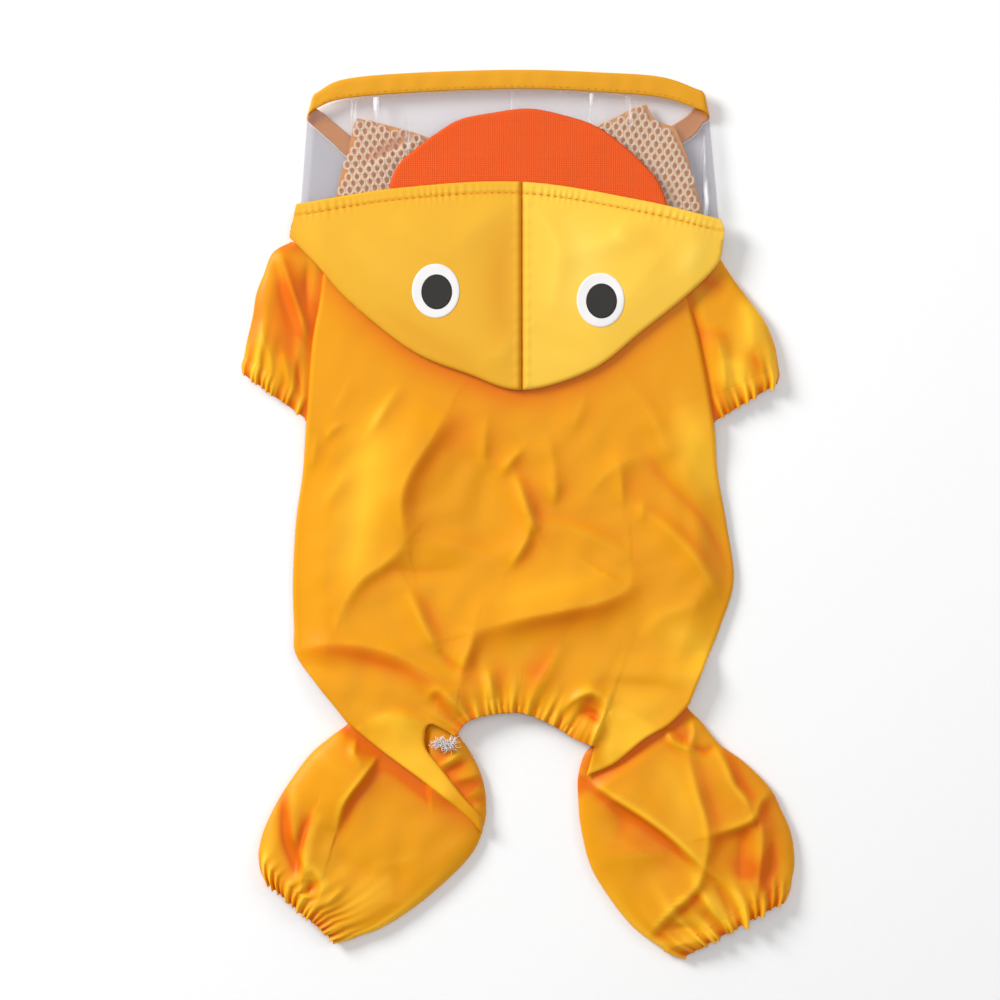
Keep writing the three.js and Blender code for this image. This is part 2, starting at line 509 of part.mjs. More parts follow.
// Visor: a short tube of film pressed flat, seam edge to free edge, and the tape that continues it.
const spanOf = (rows, name) => round(rows.map((r) => [r[name + "x"], r[name + "y"]]), rows === VISOR_TOP ? 22 : 16);
function visorLoop(name, wall, height) {
  const [top, under] = [spanOf(VISOR_TOP, name), spanOf(VISOR_UNDER, name)];
  const r = height / 2;
  const loop = (inset) => {
    const side = (a, b, sign) =>
      [1, 2, 3].map((k) => {
        const angle = (Math.PI * k) / 4;
        const [x, y] = [a[0] + (b[0] - a[0]) * (k / 4), a[1] + (b[1] - a[1]) * (k / 4)];
        return [x + sign * (r - inset) * Math.sin(angle), y, r + (r - inset) * Math.cos(angle)];
      });
    return [
      ...top.map(([x, y]) => [x, y, height - inset]),
      ...side(top.at(-1), under.at(-1), 1),
      ...[...under].reverse().map(([x, y]) => [x, y, inset]),
      ...side(top[0], under[0], -1).reverse(),
    ];
  };
  return { outer: loop(0), inner: loop(wall) };
}
const between = (a, b, t) => {
  const mix = (p, q) => p.map((v, i) => v.map((c, k) => c + (q[i][k] - c) * t));
  return { outer: mix(a.outer, b.outer), inner: mix(a.inner, b.inner) };
};
const [filmSeam, filmEdge] = ["s", "f"].map((n) => visorLoop(n, FILM, VISOR_H));
const film = tube([filmSeam, between(filmSeam, filmEdge, 0.5), between(filmSeam, filmEdge, 0.985)]);
const [tapeIn, tapeOut] = ["f", "t"].map((n) => visorLoop(n, TAPE, VISOR_H + 0.3));
const binding = tube([between(tapeIn, tapeOut, 0.02), between(tapeIn, tapeOut, 0.5), tapeOut]);

// Brim: one stiffened piece on the film, its straight edge under the hood.
const brimLow = (x, y) => VISOR_H + SEAM + 0.25 * smooth(150, 172, y);
const brim = laid(
  outlineOf([
    [-54.4, 136.4],
    ...round([[-54.2, 143.2], [-50.3, 150.9], [-42.6, 157.8], [-34.4, 163.8], [-24.9, 169.4], [-12, 172.2], [5.6, 174.2], [24.1, 170.3], [34.4, 166.4], [44.3, 159.5], [53.3, 151.4], [60.6, 142.8], [65, 131.5]], 26),
    ...round([[65, 129.6], [33, 134], [2.1, 137.6], [-26, 137.4], [-54.4, 136.4]], 6),
  ]),
  12,
  (x, y) => brimLow(x, y) + CLOTH,
  brimLow,
);

// Hood: two panels that meet on the crown. The lower curve is a fold with the returned layers inside, so its wall is fuller.
const FRONT = [[-94.6, 133.3], [-50.3, 140.2], [2.1, 142.8], [52.9, 135], [87.3, 126.8]];
const FOLD = [[-97.6, 119.1], [-85.6, 106.6], [-71.8, 91.2], [-45.1, 70.1], [-21.1, 60.2], [2.1, 53.3], [31.8, 61.9], [53.3, 78.3], [73.5, 94.6], [86, 107.5], [88.4, 117.4]];
const hoodSection = [
  { x: -98, front: 132.6, fold: 119 },
  { x: -86, front: 135.0, fold: 107 },
  { x: -72, front: 137.2, fold: 91.4 },
  { x: -45, front: 140.8, fold: 70.1 },
  { x: -21, front: 142.2, fold: 60.2 },
  { x: 2, front: 142.8, fold: 53.3 },
  { x: 32, front: 139.0, fold: 61.9 },
  { x: 53, front: 135.0, fold: 78.3 },
  { x: 74, front: 130.2, fold: 95 },
  { x: 89, front: 126.4, fold: 112 },
];
const HOOD_FOLDS = [
  { fx: -50, fy: 132, tx: -30, ty: 112, wide: 7, high: 0.5 },
  { fx: -66, fy: 122, tx: -48, ty: 100, wide: 7, high: 0.5 },
  { fx: 20, fy: 132, tx: 26, ty: 104, wide: 7, high: 0.6 },
  { fx: 56, fy: 126, tx: 50, ty: 100, wide: 7, high: 0.5 },
];
function hoodTop(x, y) {
  const [front, fold] = ["front", "fold"].map((n) => along(hoodSection, "x", n, clamp(x, -98, 89)));
  const full = smooth(-2, 16, y - fold) * smooth(-6, 20, front - y);
  const side = smooth(-97.6, -82, x) * smooth(88.4, 74, x);
  const held = 8.0 + 1.1 * side;
  const edge = 0.7 * smooth(3, -1, y - fold);
  return held + (CROWN_TOP - 8.2) * full * side - edge + creases(HOOD_FOLDS, x, y) * full;
}
const hoodUnder = (x, y) => {
  const fold = along(hoodSection, "x", "fold", clamp(x, -98, 89));
  const returned = 0.9 * smooth(9, 3, y - fold) * smooth(-96, -84, x) * smooth(87, 76, x);
  return Math.max(hoodTop(x, y) - CLOTH - returned, 6.3 + 0.95 * smooth(-60, -50, x) * smooth(72, 62, x));
};
const HOOD_SHAPE = outlineOf([...round(FRONT, 24), [88.9, 122], ...round(FOLD, 44).reverse()]);
const hoodHalf = (side) => {
  const seam = CROWN_X + (side * SEAM) / 2;
  const half = outlineOf([[side * 110, 40], [seam, 40], [seam, 150], [side * 110, 150]]);
  return laid(HOOD_SHAPE, 7.5, hoodTop, hoodUnder).intersect(prism(half));
};

// Flat eye patches that follow the hood's surface, moved out from it.
function patch(cx, cy, wide, long, low, wall) {
  const shape = outlineOf(
    Array.from({ length: 28 }, (_, k) => {
      const a = (2 * Math.PI * k) / 28;
      return [cx + (wide / 2) * Math.cos(a), cy + (long / 2) * Math.sin(a)];
    }),
  );
  return laid(shape, 7.5, (x, y) => hoodTop(x, y) + low + wall, (x, y) => hoodTop(x, y) + low);
}

const LOOKS = {
  coat_cloth: { color: 0xf3a41f, roughness: 0.5 },
  hood_cloth: { color: 0xf9bf3c, roughness: 0.5 },
  brim_cloth: { color: 0xf5652a, roughness: 0.6 },
  clear_film: { color: 0xd8d4da, roughness: 0.12 },
  net: { color: 0xfbd9b5, roughness: 0.7 },
  tape: { color: 0xeba226, roughness: 0.55 },
  hook_strip: { color: 0xe0d8c8, roughness: 0.85 },
  white_print: { color: 0xece9e8, roughness: 0.45 },
  black_print: { color: 0x33302e, roughness: 0.45 },
};
const part = new THREE.Group();
part.name = "dog_raincoat";
function add(name, look, solid) {
  const mesh = solid.getMesh();
  const geometry = new THREE.BufferGeometry();
  geometry.setAttribute("position", new THREE.BufferAttribute(new Float32Array(mesh.vertProperties), 3));
  geometry.setIndex(new THREE.BufferAttribute(new Uint32Array(mesh.triVerts), 1));
  geometry.computeVertexNormals();
  const made = new THREE.Mesh(geometry, new THREE.MeshStandardMaterial({ ...LOOKS[look], metalness: 0 }));
  made.name = name;
  part.add(made);
}

add("back_panel", "coat_cloth", back);
add("tail_elastic", "coat_cloth", tail.solid);
add("belly_left", "coat_cloth", bellyLeft);
add("belly_right", "coat_cloth", bellyRight);
add("closure_tape", "hook_strip", strip);
add("throat_panel", "coat_cloth", throat);
add("lining_left", "net", liningLeft);
add("lining_right", "net", liningRight);
add("leg_left", "coat_cloth", limb(LEG_LEFT, legTop));
add("leg_right", "coat_cloth", limb(LEG_RIGHT, legTop));
add("leg_left_cuff", "coat_cloth", cuff(LEG_LEFT_CUFF, GATHER_LEG, 0.45, legCuffTop));
add("leg_right_cuff", "coat_cloth", cuff(LEG_RIGHT_CUFF, GATHER_LEG, 0.45, legCuffTop));
add("sleeve_left", "coat_cloth", limb(SLEEVE_LEFT, sleeveTop));
add("sleeve_right", "coat_cloth", limb(SLEEVE_RIGHT, sleeveTop));
add("sleeve_left_cuff", "coat_cloth", cuff(SLEEVE_LEFT_CUFF, GATHER_SLEEVE, 0.4, sleeveCuffTop));
add("sleeve_right_cuff", "coat_cloth", cuff(SLEEVE_RIGHT_CUFF, GATHER_SLEEVE, 0.4, sleeveCuffTop));
add("visor_film", "clear_film", film);
add("visor_binding", "tape", binding);
add("brim", "brim_cloth", brim);
add("hood_left", "hood_cloth", hoodHalf(-1));
add("hood_right", "hood_cloth", hoodHalf(1));
for (const [side, x, y] of [["left", -34.8, 95.9], ["right", 35.7, 92.0]]) {
  add("eye_white_" + side, "white_print", patch(x, y, EYE.wide, EYE.long, 0.2, 0.4));
  add("eye_black_" + side, "black_print", patch(x + 0.4, y - 0.4, EYE.pupilWide, EYE.pupilLong, 0.8, 0.4));
}

export default part;
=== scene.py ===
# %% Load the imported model
import math
import bpy
import numpy as np
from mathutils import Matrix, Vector
from mathutils.geometry import delaunay_2d_cdt


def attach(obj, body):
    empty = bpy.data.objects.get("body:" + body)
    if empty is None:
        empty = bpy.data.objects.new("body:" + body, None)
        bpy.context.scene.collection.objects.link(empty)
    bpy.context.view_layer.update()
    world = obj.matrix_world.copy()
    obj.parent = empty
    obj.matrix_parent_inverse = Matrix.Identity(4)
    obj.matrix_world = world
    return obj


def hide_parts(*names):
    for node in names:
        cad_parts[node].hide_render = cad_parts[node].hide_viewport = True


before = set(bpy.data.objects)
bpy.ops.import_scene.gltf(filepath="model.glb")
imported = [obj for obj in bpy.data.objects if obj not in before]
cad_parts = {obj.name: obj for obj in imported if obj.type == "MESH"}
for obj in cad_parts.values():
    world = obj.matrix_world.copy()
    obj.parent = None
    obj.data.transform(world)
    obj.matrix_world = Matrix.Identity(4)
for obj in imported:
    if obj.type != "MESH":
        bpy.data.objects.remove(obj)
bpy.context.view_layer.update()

# %% [markdown]
# # A small dog's raincoat, laid flat on its belly
# The coat is thin coated cloth. Every piece that a maker would cut is made here as a thin shell that
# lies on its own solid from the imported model, with the creases, gathers, stitches and net that the
# solids leave out. All lengths below are in millimetres, +X to the wearer's right, +Y to the visor
# and +Z up from the table.

# %% Small helpers for smooth shapes
MM = 0.001


def smooth(a, b, v):
    t = np.clip((np.asarray(v, float) - a) / (b - a), 0, 1)
    return t * t * (3 - 2 * t)


def flowing(places, values):
    """A smooth line through a pattern's marks, as a function of the place."""
    p, q = np.array(places, float), np.array(values, float)
    if p[0] > p[-1]:
        p, q = p[::-1], q[::-1]
    slope = np.empty_like(q)
    slope[1:-1] = (q[2:] - q[:-2]) / (p[2:] - p[:-2])
    slope[0] = (q[1] - q[0]) / (p[1] - p[0])
    slope[-1] = (q[-1] - q[-2]) / (p[-1] - p[-2])

    def at(v):
        v = np.clip(np.asarray(v, float), p[0], p[-1])
        i = np.clip(np.searchsorted(p, v) - 1, 0, len(p) - 2)
        h = p[i + 1] - p[i]
        t = (v - p[i]) / h
        a, b = 2 * t**3 - 3 * t**2 + 1, t**3 - 2 * t**2 + t
        return a * q[i] + b * h * slope[i] + (1 - a) * q[i + 1] + (t**3 - t**2) * h * slope[i + 1]

    return at


def run_along(line):
    """How far along a line each of its points lies."""
    return np.concatenate([[0], np.cumsum(np.linalg.norm(np.diff(line, axis=0), axis=1))])


def spaced(line, places):
    """The points of a line that lie at the given distances along it."""
    run = run_along(line)
    return np.stack([np.interp(places, run, line[:, k]) for k in range(line.shape[1])], 1)


def rounded(marks, count):
    """Points at equal spacing along a smooth curve through a few marks."""
    marks = np.array(marks, float)
    steps = np.arange(len(marks))
    fine = np.linspace(0, len(marks) - 1, 40 * len(marks))
    line = np.stack([flowing(steps, marks[:, k])(fine) for k in range(marks.shape[1])], 1)
    return spaced(line, np.linspace(0, run_along(line)[-1], count + 1))


def bell(d, wide):
    """1 on a line, fading away on both sides of it."""
    return np.exp(-((d / wide) ** 2))


def turned(d, wide):
    """1 at an edge and 0 from wide mm in, as the round of cloth that turns down."""
    return 1 - np.sqrt(np.clip(1 - np.clip(1 - d / wide, 0, 1) ** 2, 0, 1))


def chance(*seed):
    """A fixed number from 0 to 1 for each seed, so that every run gives the same unevenness."""
    v = math.sin(sum(s * w for s, w in zip(seed, (12.9898, 78.233, 37.719)))) * 43758.5453
    return v - math.floor(v)


print("a helper's check, half way:", float(smooth(0, 1, 0.5)))

# %% [markdown]
# ## Creases
# A crease in coated cloth is a soft ridge or trough that fades out at both ends, and it is often
# steeper on one side. A simulation could make some, but not these ones in these places. So each
# crease is a line of marks with its own width on the left and right of its direction, and a height.
#
# A table of tones has the same form. It moves nothing: it is painted shade (+), where other cloth
# shades it, and painted light (-), where it is taut and open to the light.

# %% How far a point lies from a line, and what a table of creases adds
def beside(line, x, y):
    """Distance from a line, the side (+1 left), and how far along it the nearest point is, 0 to 1."""
    line = np.array(line, float)
    best = np.full(x.shape, 1e9)
    side, part = np.zeros(x.shape), np.zeros(x.shape)
    run = run_along(line)
    for k in range(len(line) - 1):
        (ax, ay), (bx, by) = line[k], line[k + 1]
        dx, dy = bx - ax, by - ay
        length2 = max(dx * dx + dy * dy, 1e-9)
        t = np.clip(((x - ax) * dx + (y - ay) * dy) / length2, 0, 1)
        d = np.hypot(x - ax - t * dx, y - ay - t * dy)
        nearer = d < best
        best = np.where(nearer, d, best)
        side = np.where(nearer, np.sign(dx * (y - ay) - dy * (x - ax)), side)
        part = np.where(nearer, (run[k] + t * math.sqrt(length2)) / run[-1], part)
    return best, side, part


def off_line(line, x, y):
    return beside(line, x, y)[0]


def creased(table, x, y):
    """The height that a table adds. Its rows: marks, width on the left, width on the right, height."""
    z = np.zeros(x.shape)
    for marks, left, right, high in table:
        reach = 2.8 * max(left, right)
        points = np.array(marks)
        low, top = points.min(0) - reach, points.max(0) + reach
        near = (x > low[0]) & (x < top[0]) & (y > low[1]) & (y < top[1])
        if near.any():
            d, side, part = beside(rounded(marks, 6 * (len(marks) - 1)), x[near], y[near])
            t = d / np.where(side > 0, left, right)
            sharp = np.exp(-1.1 * (np.sqrt(t * t + 0.05) - 0.2236) - 0.35 * t * t)
            z[near] += high * sharp * np.sin(np.pi * (0.04 + 0.92 * part)) ** 0.8
    return z


def slack(x, y, high=0.22):
    """Cloth that lies loose is never level: long shallow swells without a direction."""
    across = np.sin(0.23 * x + 1.7 * np.sin(0.11 * y + 0.4))
    along = np.sin(0.19 * y + 1.3 * np.sin(0.13 * x) + 1.0)
    return high * (across * along + 0.5 * np.sin(0.31 * x - 0.27 * y + 2.0 * np.sin(0.09 * x + 0.1 * y)))


def painted_shade_by_steep_sides(table, x, y, reach=8.0, much=0.24):
    """Painted shade close under the steep side of a fold, where light comes only off other yellow cloth."""
    rows = [
        (marks, reach if left < right else 0.7, reach if right < left else 0.7, much * high)
        for marks, left, right, high in table if left != right and high > 0
    ]
    return creased(rows, x, y)


def fold_shade(table, tones, x, y, reach=4.0, most=1.0):
    """Painted shade value: 0 on a crest, 0.5 on the level, 1 in a hollow, from the folds and the broad
    tones.
    """
    folds = creased(table, x, y)
    ring = [creased(table, x + dx, y + dy) for dx, dy in ((reach, 0), (-reach, 0), (0, reach), (0, -reach))]
    return 0.5 + 0.45 * (np.mean(ring, 0) - folds) / most + painted_shade_by_steep_sides(table, x, y) + creased(tones, x, y)


lone = [([(0, 0), (10, 0)], 2, 2, 1)]
print("a lone ridge's height at its line:", creased(lone, np.array([5.0]), np.array([0.0])))

# %% [markdown]
# ## Colour helper and node helper
# Colours are written as sRGB hex values, as a maker reads them off a swatch, and one function turns
# them to the linear ones that Blender mixes. One small function adds a node with its settings and
# links, so each finish below reads as a recipe.

# %% Colour and nodes
def linear(hex_colour):
    values = [int(hex_colour[k : k + 2], 16) / 255 for k in (1, 3, 5)]
    return [v / 12.92 if v <= 0.04045 else ((v + 0.055) / 1.055) ** 2.4 for v in values] + [1.0]


def put(tree, kind, inputs=None, **settings):
    """Add a node: settings are its own, inputs are values or sockets to link."""
    made = tree.nodes.new(kind)
    for name, value in settings.items():
        setattr(made, name, value)
    for name, value in (inputs or {}).items():
        if isinstance(value, bpy.types.NodeSocket):
            tree.links.new(value, made.inputs[name])
        else:
            made.inputs[name].default_value = value
    return made


def new_finish(name):
    made = bpy.data.materials.new(name)
    made.use_nodes = True
    made.node_tree.nodes.clear()
    return made, made.node_tree


print("amber in linear light:", [round(v, 3) for v in linear("#F5A623")])

# %% [markdown]
# ## Coated polyester taffeta
# The coat is a plain-woven polyester with a thin waterproof coating. The weave gives a faint grain,
# the coating a satin sheen. Yellow cloth that faces yellow cloth looks deep orange in its hollows from
# the light between them, and that is painted shade here: a number kept on the mesh, from 0 on a crest
# to 1 in a hollow, mixes a paler painted highlight on crests and a deep orange painted shade in hollows.

# %% The taffeta's recipe
WAVE_BAND = 0.314159  # metres from one band of a wave texture to the next, at a scale of 1


def taffeta(name, face, painted_highlight, painted_shade, thread=0.45, grain=0.12, rough=0.42):
    """thread is the spacing that shows, in mm. Real taffeta has about 0.12 mm, too fine for the render."""
    finish, tree = new_finish(name)
    place = put(tree, "ShaderNodeTexCoord").outputs["Object"]
    scale = WAVE_BAND / (thread * MM)
    warp = put(tree, "ShaderNodeTexWave", {"Vector": place, "Scale": scale}, bands_direction="X")
    weft = put(tree, "ShaderNodeTexWave", {"Vector": place, "Scale": scale}, bands_direction="Y")
    weave = put(tree, "ShaderNodeMath", {0: warp.outputs["Fac"], 1: weft.outputs["Fac"]}, operation="ADD")
    fine = {"Vector": place, "Scale": 420.0, "Detail": 3.0, "Roughness": 0.6}
    crinkle = put(tree, "ShaderNodeTexNoise", fine)
    soft = put(tree, "ShaderNodeTexNoise", {"Vector": place, "Scale": 26.0, "Detail": 2.0})
    depth = put(tree, "ShaderNodeAttribute", attribute_name="painted_shade").outputs["Fac"]
    # the painted shade value picks a painted highlight colour on crests and a painted shade colour in
    # hollows
    low = put(tree, "ShaderNodeMapRange", {"Value": depth, "From Min": 0.52, "From Max": 1.0})
    high = put(tree, "ShaderNodeMapRange", {"Value": depth, "From Min": 0.48, "From Max": 0.0})
    colour = linear(face)
    for amount, other in ((high, painted_highlight), (low, painted_shade)):
        mixed = {0: amount.outputs[0], 6: colour, 7: linear(other)}
        colour = put(tree, "ShaderNodeMix", mixed, data_type="RGBA").outputs[2]
    patchy = put(tree, "ShaderNodeMapRange", {"Value": soft.outputs["Fac"], "To Min": 0.96, "To Max": 1.04})
    uneven = {"Color": colour, "Value": patchy.outputs[0]}
    colour = put(tree, "ShaderNodeHueSaturation", uneven).outputs["Color"]
    matt = {"Value": crinkle.outputs["Fac"], "To Min": rough - 0.05, "To Max": rough + 0.07}
    gloss = put(tree, "ShaderNodeMapRange", matt)
    woven = {"Height": weave.outputs[0], "Strength": grain, "Distance": 0.00006 * (1 + grain)}
    bump = put(tree, "ShaderNodeBump", woven)
    bump = put(
        tree, "ShaderNodeBump",
        {"Height": crinkle.outputs["Fac"], "Strength": 0.16, "Distance": 0.0003, "Normal": bump.outputs[0]},
    )
    shader = put(
        tree, "ShaderNodeBsdfPrincipled",
        {
            "Base Color": colour, "Roughness": gloss.outputs[0], "Normal": bump.outputs[0], "IOR": 1.5,
            "Specular IOR Level": 0.17, "Sheen Weight": 0.04, "Sheen Roughness": 0.35,
            "Sheen Tint": linear("#FFE08A"),
        },
    )
    put(tree, "ShaderNodeOutputMaterial", {"Surface": shader.outputs[0]})
    return finish


# colours: the cloth's own, a paler painted highlight on crests, a deep orange painted shade in hollows
COAT = taffeta("coated_polyester_taffeta", "#E7990B", "#FDBD28", "#DE6A00")
# the hood's two panels are one cloth in two colours: the left painted darker as shade, the right painted
# paler as light
HOOD_LEFT_PAINTED_SHADE = taffeta("coated_taffeta_hood_left_painted_shade", "#E8AE2E", "#F4C040", "#DA8F16")
HOOD_RIGHT_PAINTED_LIGHT = taffeta("coated_taffeta_hood_right_painted_light", "#F6C644", "#FED85C", "#E6A024")
print("taffeta finishes:", COAT.name, HOOD_LEFT_PAINTED_SHADE.name, HOOD_RIGHT_PAINTED_LIGHT.name)

# %% [markdown]
# ## Brim cloth, binding tape, net yarn, film, patches, thread
# The brim is a stiffer plain-woven polyester in orange, matt, with a grain that shows. The tape is
# the coat's cloth cut in a strip and pressed. The net is soft warp-knitted polyester. The visor is
# clear PVC film, slightly violet, which mirrors the lamps at its creases, with white streaks painted
# on it as more reflections. The eye patches are a smooth film pressed on with heat, and the sewing
# thread is spun polyester.

# %% The other finishes
# Each finish below: its own colour, a paler painted highlight on crests and a deeper painted shade in
# hollows.
BRIM = taffeta("plain_woven_polyester", "#EC5A1E", "#F8692B", "#D04212", thread=0.8, grain=1.0, rough=0.62)
TAPE = taffeta("folded_binding_tape", "#E09C20", "#EEAE32", "#D07400", thread=0.6, grain=0.35, rough=0.5)
NET = taffeta("knitted_polyester_net", "#FFD6A4", "#FFE6C0", "#D9945E", thread=0.9, grain=0.6, rough=0.7)
WHITE = taffeta("pressed_film_white", "#EDEAE9", "#F4F2F1", "#D9D4D4", thread=0.5, grain=0.05, rough=0.4)
BLACK = taffeta("pressed_film_black", "#2E2B29", "#3A3735", "#1E1C1B", thread=0.5, grain=0.05, rough=0.38)
THREAD = taffeta("spun_polyester_thread", "#DB8A1C", "#E79A2A", "#B86A10", thread=0.3, grain=0.6, rough=0.6)
TUFT = taffeta("raw_white_thread", "#FAF3F0", "#FFFCFA", "#E6C2BC", thread=0.3, grain=0.6, rough=0.7)
HOOK = taffeta("hook_and_loop_strip", "#E0D8C8", "#ECE5D8", "#B8AF9E", thread=1.2, grain=1.0, rough=0.85)


def clear_film():
    """PVC film about 0.2 mm thick: IOR 1.53, glossy, with faint white streaks painted on as reflections."""
    finish, tree = new_finish("clear_pvc_film")
    place = put(tree, "ShaderNodeTexCoord").outputs["Object"]
    slanted = {"Vector": place, "Scale": (105.0, 12.0, 20.0), "Rotation": (0, 0, 0.35)}
    drawn = put(tree, "ShaderNodeMapping", slanted)
    # painted reflections: white, more opaque streaks at fixed places on the film
    streak = put(tree, "ShaderNodeTexNoise", {"Vector": drawn.outputs[0], "Scale": 1.4, "Detail": 4.0})
    reflection_range = {"Value": streak.outputs["Fac"], "From Min": 0.61, "From Max": 0.70}
    painted_reflection = put(tree, "ShaderNodeMapRange", reflection_range).outputs[0]
    mixed = {0: painted_reflection, 6: linear("#9890A0"), 7: linear("#FFFFFF")}
    tint = put(tree, "ShaderNodeMix", mixed, data_type="RGBA").outputs[2]
    cover = put(tree, "ShaderNodeMapRange", {"Value": painted_reflection, "To Min": 0.145, "To Max": 0.6}).outputs[0]
    shader = put(
        tree, "ShaderNodeBsdfPrincipled",
        {
            "Base Color": tint, "Roughness": 0.08, "IOR": 1.53, "Specular IOR Level": 0.45,
            "Alpha": cover, "Coat Weight": 0.3, "Coat Roughness": 0.05,
        },
    )
    put(tree, "ShaderNodeOutputMaterial", {"Surface": shader.outputs[0]})
    return finish


FILM = clear_film()
print("finishes in all:", len(bpy.data.materials))

# %% [markdown]
# ## From points to a sewn piece
# A pattern piece is cut along an outline and then laid. So the mesh starts as the flat cut: points
# on the outline, rows of points just inside it where the cloth turns down, and an even grid between.
# A constrained triangulation joins them, and a height function lays them. A thin Solidify gives the
# cloth its own thickness.

# %% Cutting and laying a piece
def inside(outline, x, y):
    hit = np.zeros(x.shape, bool)
    n = len(outline)
    for k in range(n):
        (ax, ay), (bx, by) = outline[k], outline[(k + 1) % n]
        if ay != by:
            hit ^= ((ay > y) != (by > y)) & (x < (bx - ax) * (y - ay) / (by - ay) + ax)
    return hit


def closed_line(outline):
    return np.vstack([outline, outline[:1]])


def even_outline(outline, pitch):
    """Points at equal spacing round an outline, always the same way round."""
    line = closed_line(np.array(outline, float))
    long = run_along(line)[-1]
    points = spaced(line, np.linspace(0, long, int(long / pitch) + 1)[:-1])
    x, y = points.T
    area = 0.5 * np.sum(x * np.roll(y, -1) - np.roll(x, -1) * y)
    return points if area > 0 else points[::-1]


def even_run(line, pitch):
    long = run_along(line)[-1]
    return spaced(line, np.linspace(0, long, max(3, int(long / pitch))))


def cut(outline, pitch, edge=0.8, rows=(0.3, 0.8, 1.6, 2.6), fine=None, fine_pitch=0.5, ridges=()):
    """Points and triangles of a flat piece: finer where fine(x, y) is true, with points along each ridge."""
    border = even_outline(outline, edge)
    ahead, behind = np.roll(border, -1, 0), np.roll(border, 1, 0)
    along = ahead - behind
    along /= np.linalg.norm(along, axis=1)[:, None] + 1e-9
    inward = np.stack([-along[:, 1], along[:, 0]], 1)
    ring = closed_line(border)
    ring = ring[:: max(1, len(ring) // 400)]
    points = [border]
    for depth in rows:
        row = border + inward * depth
        d = off_line(ring, row[:, 0], row[:, 1])
        keep = inside(border, row[:, 0], row[:, 1]) & (d > 0.85 * depth)
        points.append(row[keep])
    low, top = border.min(0), border.max(0)
    n_edge = sum(len(row) for row in points)

    def grid(step):
        gx, gy = np.meshgrid(np.arange(low[0], top[0], step), np.arange(low[1], top[1], step))
        gx = gx + 0.5 * step * (np.arange(gx.shape[0])[:, None] % 2)
        gx, gy = gx.ravel(), gy.ravel()
        keep = inside(border, gx, gy)
        gx, gy = gx[keep], gy[keep]
        d = off_line(ring, gx, gy)
        keep = d > (rows[-1] if rows else 0) + 0.45 * step
        return gx[keep], gy[keep]

    gx, gy = grid(pitch)
    if fine is not None:
        coarse = ~fine(gx, gy)
        fx, fy = grid(fine_pitch)
        close = fine(fx, fy)
        points.append(np.stack([fx[close], fy[close]], 1))
        gx, gy = gx[coarse], gy[coarse]
    points.append(np.stack([gx, gy], 1))
    flat = np.vstack(points)
    for marks, _, _, _ in ridges:
        line = even_run(rounded(marks, 6 * (len(marks) - 1)), 0.7)
        d = off_line(ring, line[:, 0], line[:, 1])
        line = line[inside(border, line[:, 0], line[:, 1]) & (d > 3.2)]
        if len(line) > 2:
            near = np.flatnonzero(((flat > line.min(0) - 1) & (flat < line.max(0) + 1)).all(1))
            gap = np.linalg.norm(flat[near][:, None] - line[None], axis=2).min(1)
            flat = np.vstack([np.delete(flat, near[(gap < 0.5) & (near >= n_edge)], 0), line])
    n = len(border)
    sides = [(k, (k + 1) % n) for k in range(n)]
    made, _, faces, _, _, _ = delaunay_2d_cdt([Vector(p) for p in flat.tolist()], sides, [], 0, 1e-5)
    made = np.array([tuple(p) for p in made])
    faces = np.array(faces)
    middle = made[faces].mean(1)
    return made, faces[inside(border, middle[:, 0], middle[:, 1])]


def quads(rows, n, closed=True, start=0):
    """Faces between rows of n points. closed joins the end of each row to its beginning."""
    made = []
    for j in range(rows):
        for i in range(n if closed else n - 1):
            a, b = start + j * n + i, start + j * n + (i + 1) % n
            made.append((a, b, b + n, a + n))
    return made


def facing_up(points, faces, k):
    """The faces, all turned over if face k, which lies on the upper side, looks down."""
    a, b, c = points[list(faces[k][:3])]
    return [f[::-1] for f in faces] if np.cross(b - a, c - a)[2] < 0 else faces


def mesh_of(name, points, faces, finish, painted_shade=None, wall=0.0):
    """A piece in metres from points in mm, with its finish, its wall and the painted shade value kept on its
    points.
    """
    mesh = bpy.data.meshes.new(name)
    used = np.unique(np.concatenate([np.ravel(f) for f in faces]))
    again = np.full(len(points), -1)
    again[used] = np.arange(len(used))
    mesh.from_pydata((np.asarray(points)[used] * MM).tolist(), [], [again[list(f)].tolist() for f in faces])
    mesh.validate()
    shade = mesh.attributes.new("painted_shade", "FLOAT", "POINT")
    depth = np.full(len(used), 0.5) if painted_shade is None else np.asarray(painted_shade)[used]
    shade.data.foreach_set("value", depth.astype(np.float32))
    mesh.shade_smooth()
    mesh.materials.append(finish)
    made = bpy.data.objects.new(name, mesh)
    bpy.context.scene.collection.objects.link(made)
    if wall:
        thick = made.modifiers.new("cloth_thickness", "SOLIDIFY")
        thick.thickness = wall * MM
        thick.offset = -1
        thick.use_even_offset = False
    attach(made, "root")
    return made


def hollows(height, x, y, reach=3.2, most=1.1):
    """Painted shade value: 0 on a crest, 0.5 on the level, 1 in a hollow, from the height of the cloth all
    round.
    """
    z = height(x, y)
    ring = [height(x + reach * math.cos(a), y + reach * math.sin(a)) for a in np.arange(0, 6.28, 1.0472)]
    return z, np.clip(0.5 + 0.5 * (np.mean(ring, 0) - z) / most, 0, 1)


def laid(
    name, outline, height, finish, fabric,
    pitch=1.6, wall=0.25, reach=3.2, most=1.1, shade=None, **more,
):
    """Cut a piece and lay it at height(x, y), with a painted shade of its own or one from its hollows."""
    flat, faces = cut(outline, pitch, **more)
    if shade is None:
        z, deep = hollows(height, flat[:, 0], flat[:, 1], reach, most)
    else:
        z, deep = height(flat[:, 0], flat[:, 1]), np.clip(shade(flat[:, 0], flat[:, 1]), 0, 1)
    made = mesh_of(name, np.column_stack([flat, z]), faces, finish, deep, wall)
    print(name, "has", len(faces), "triangles in its upper face")
    return made


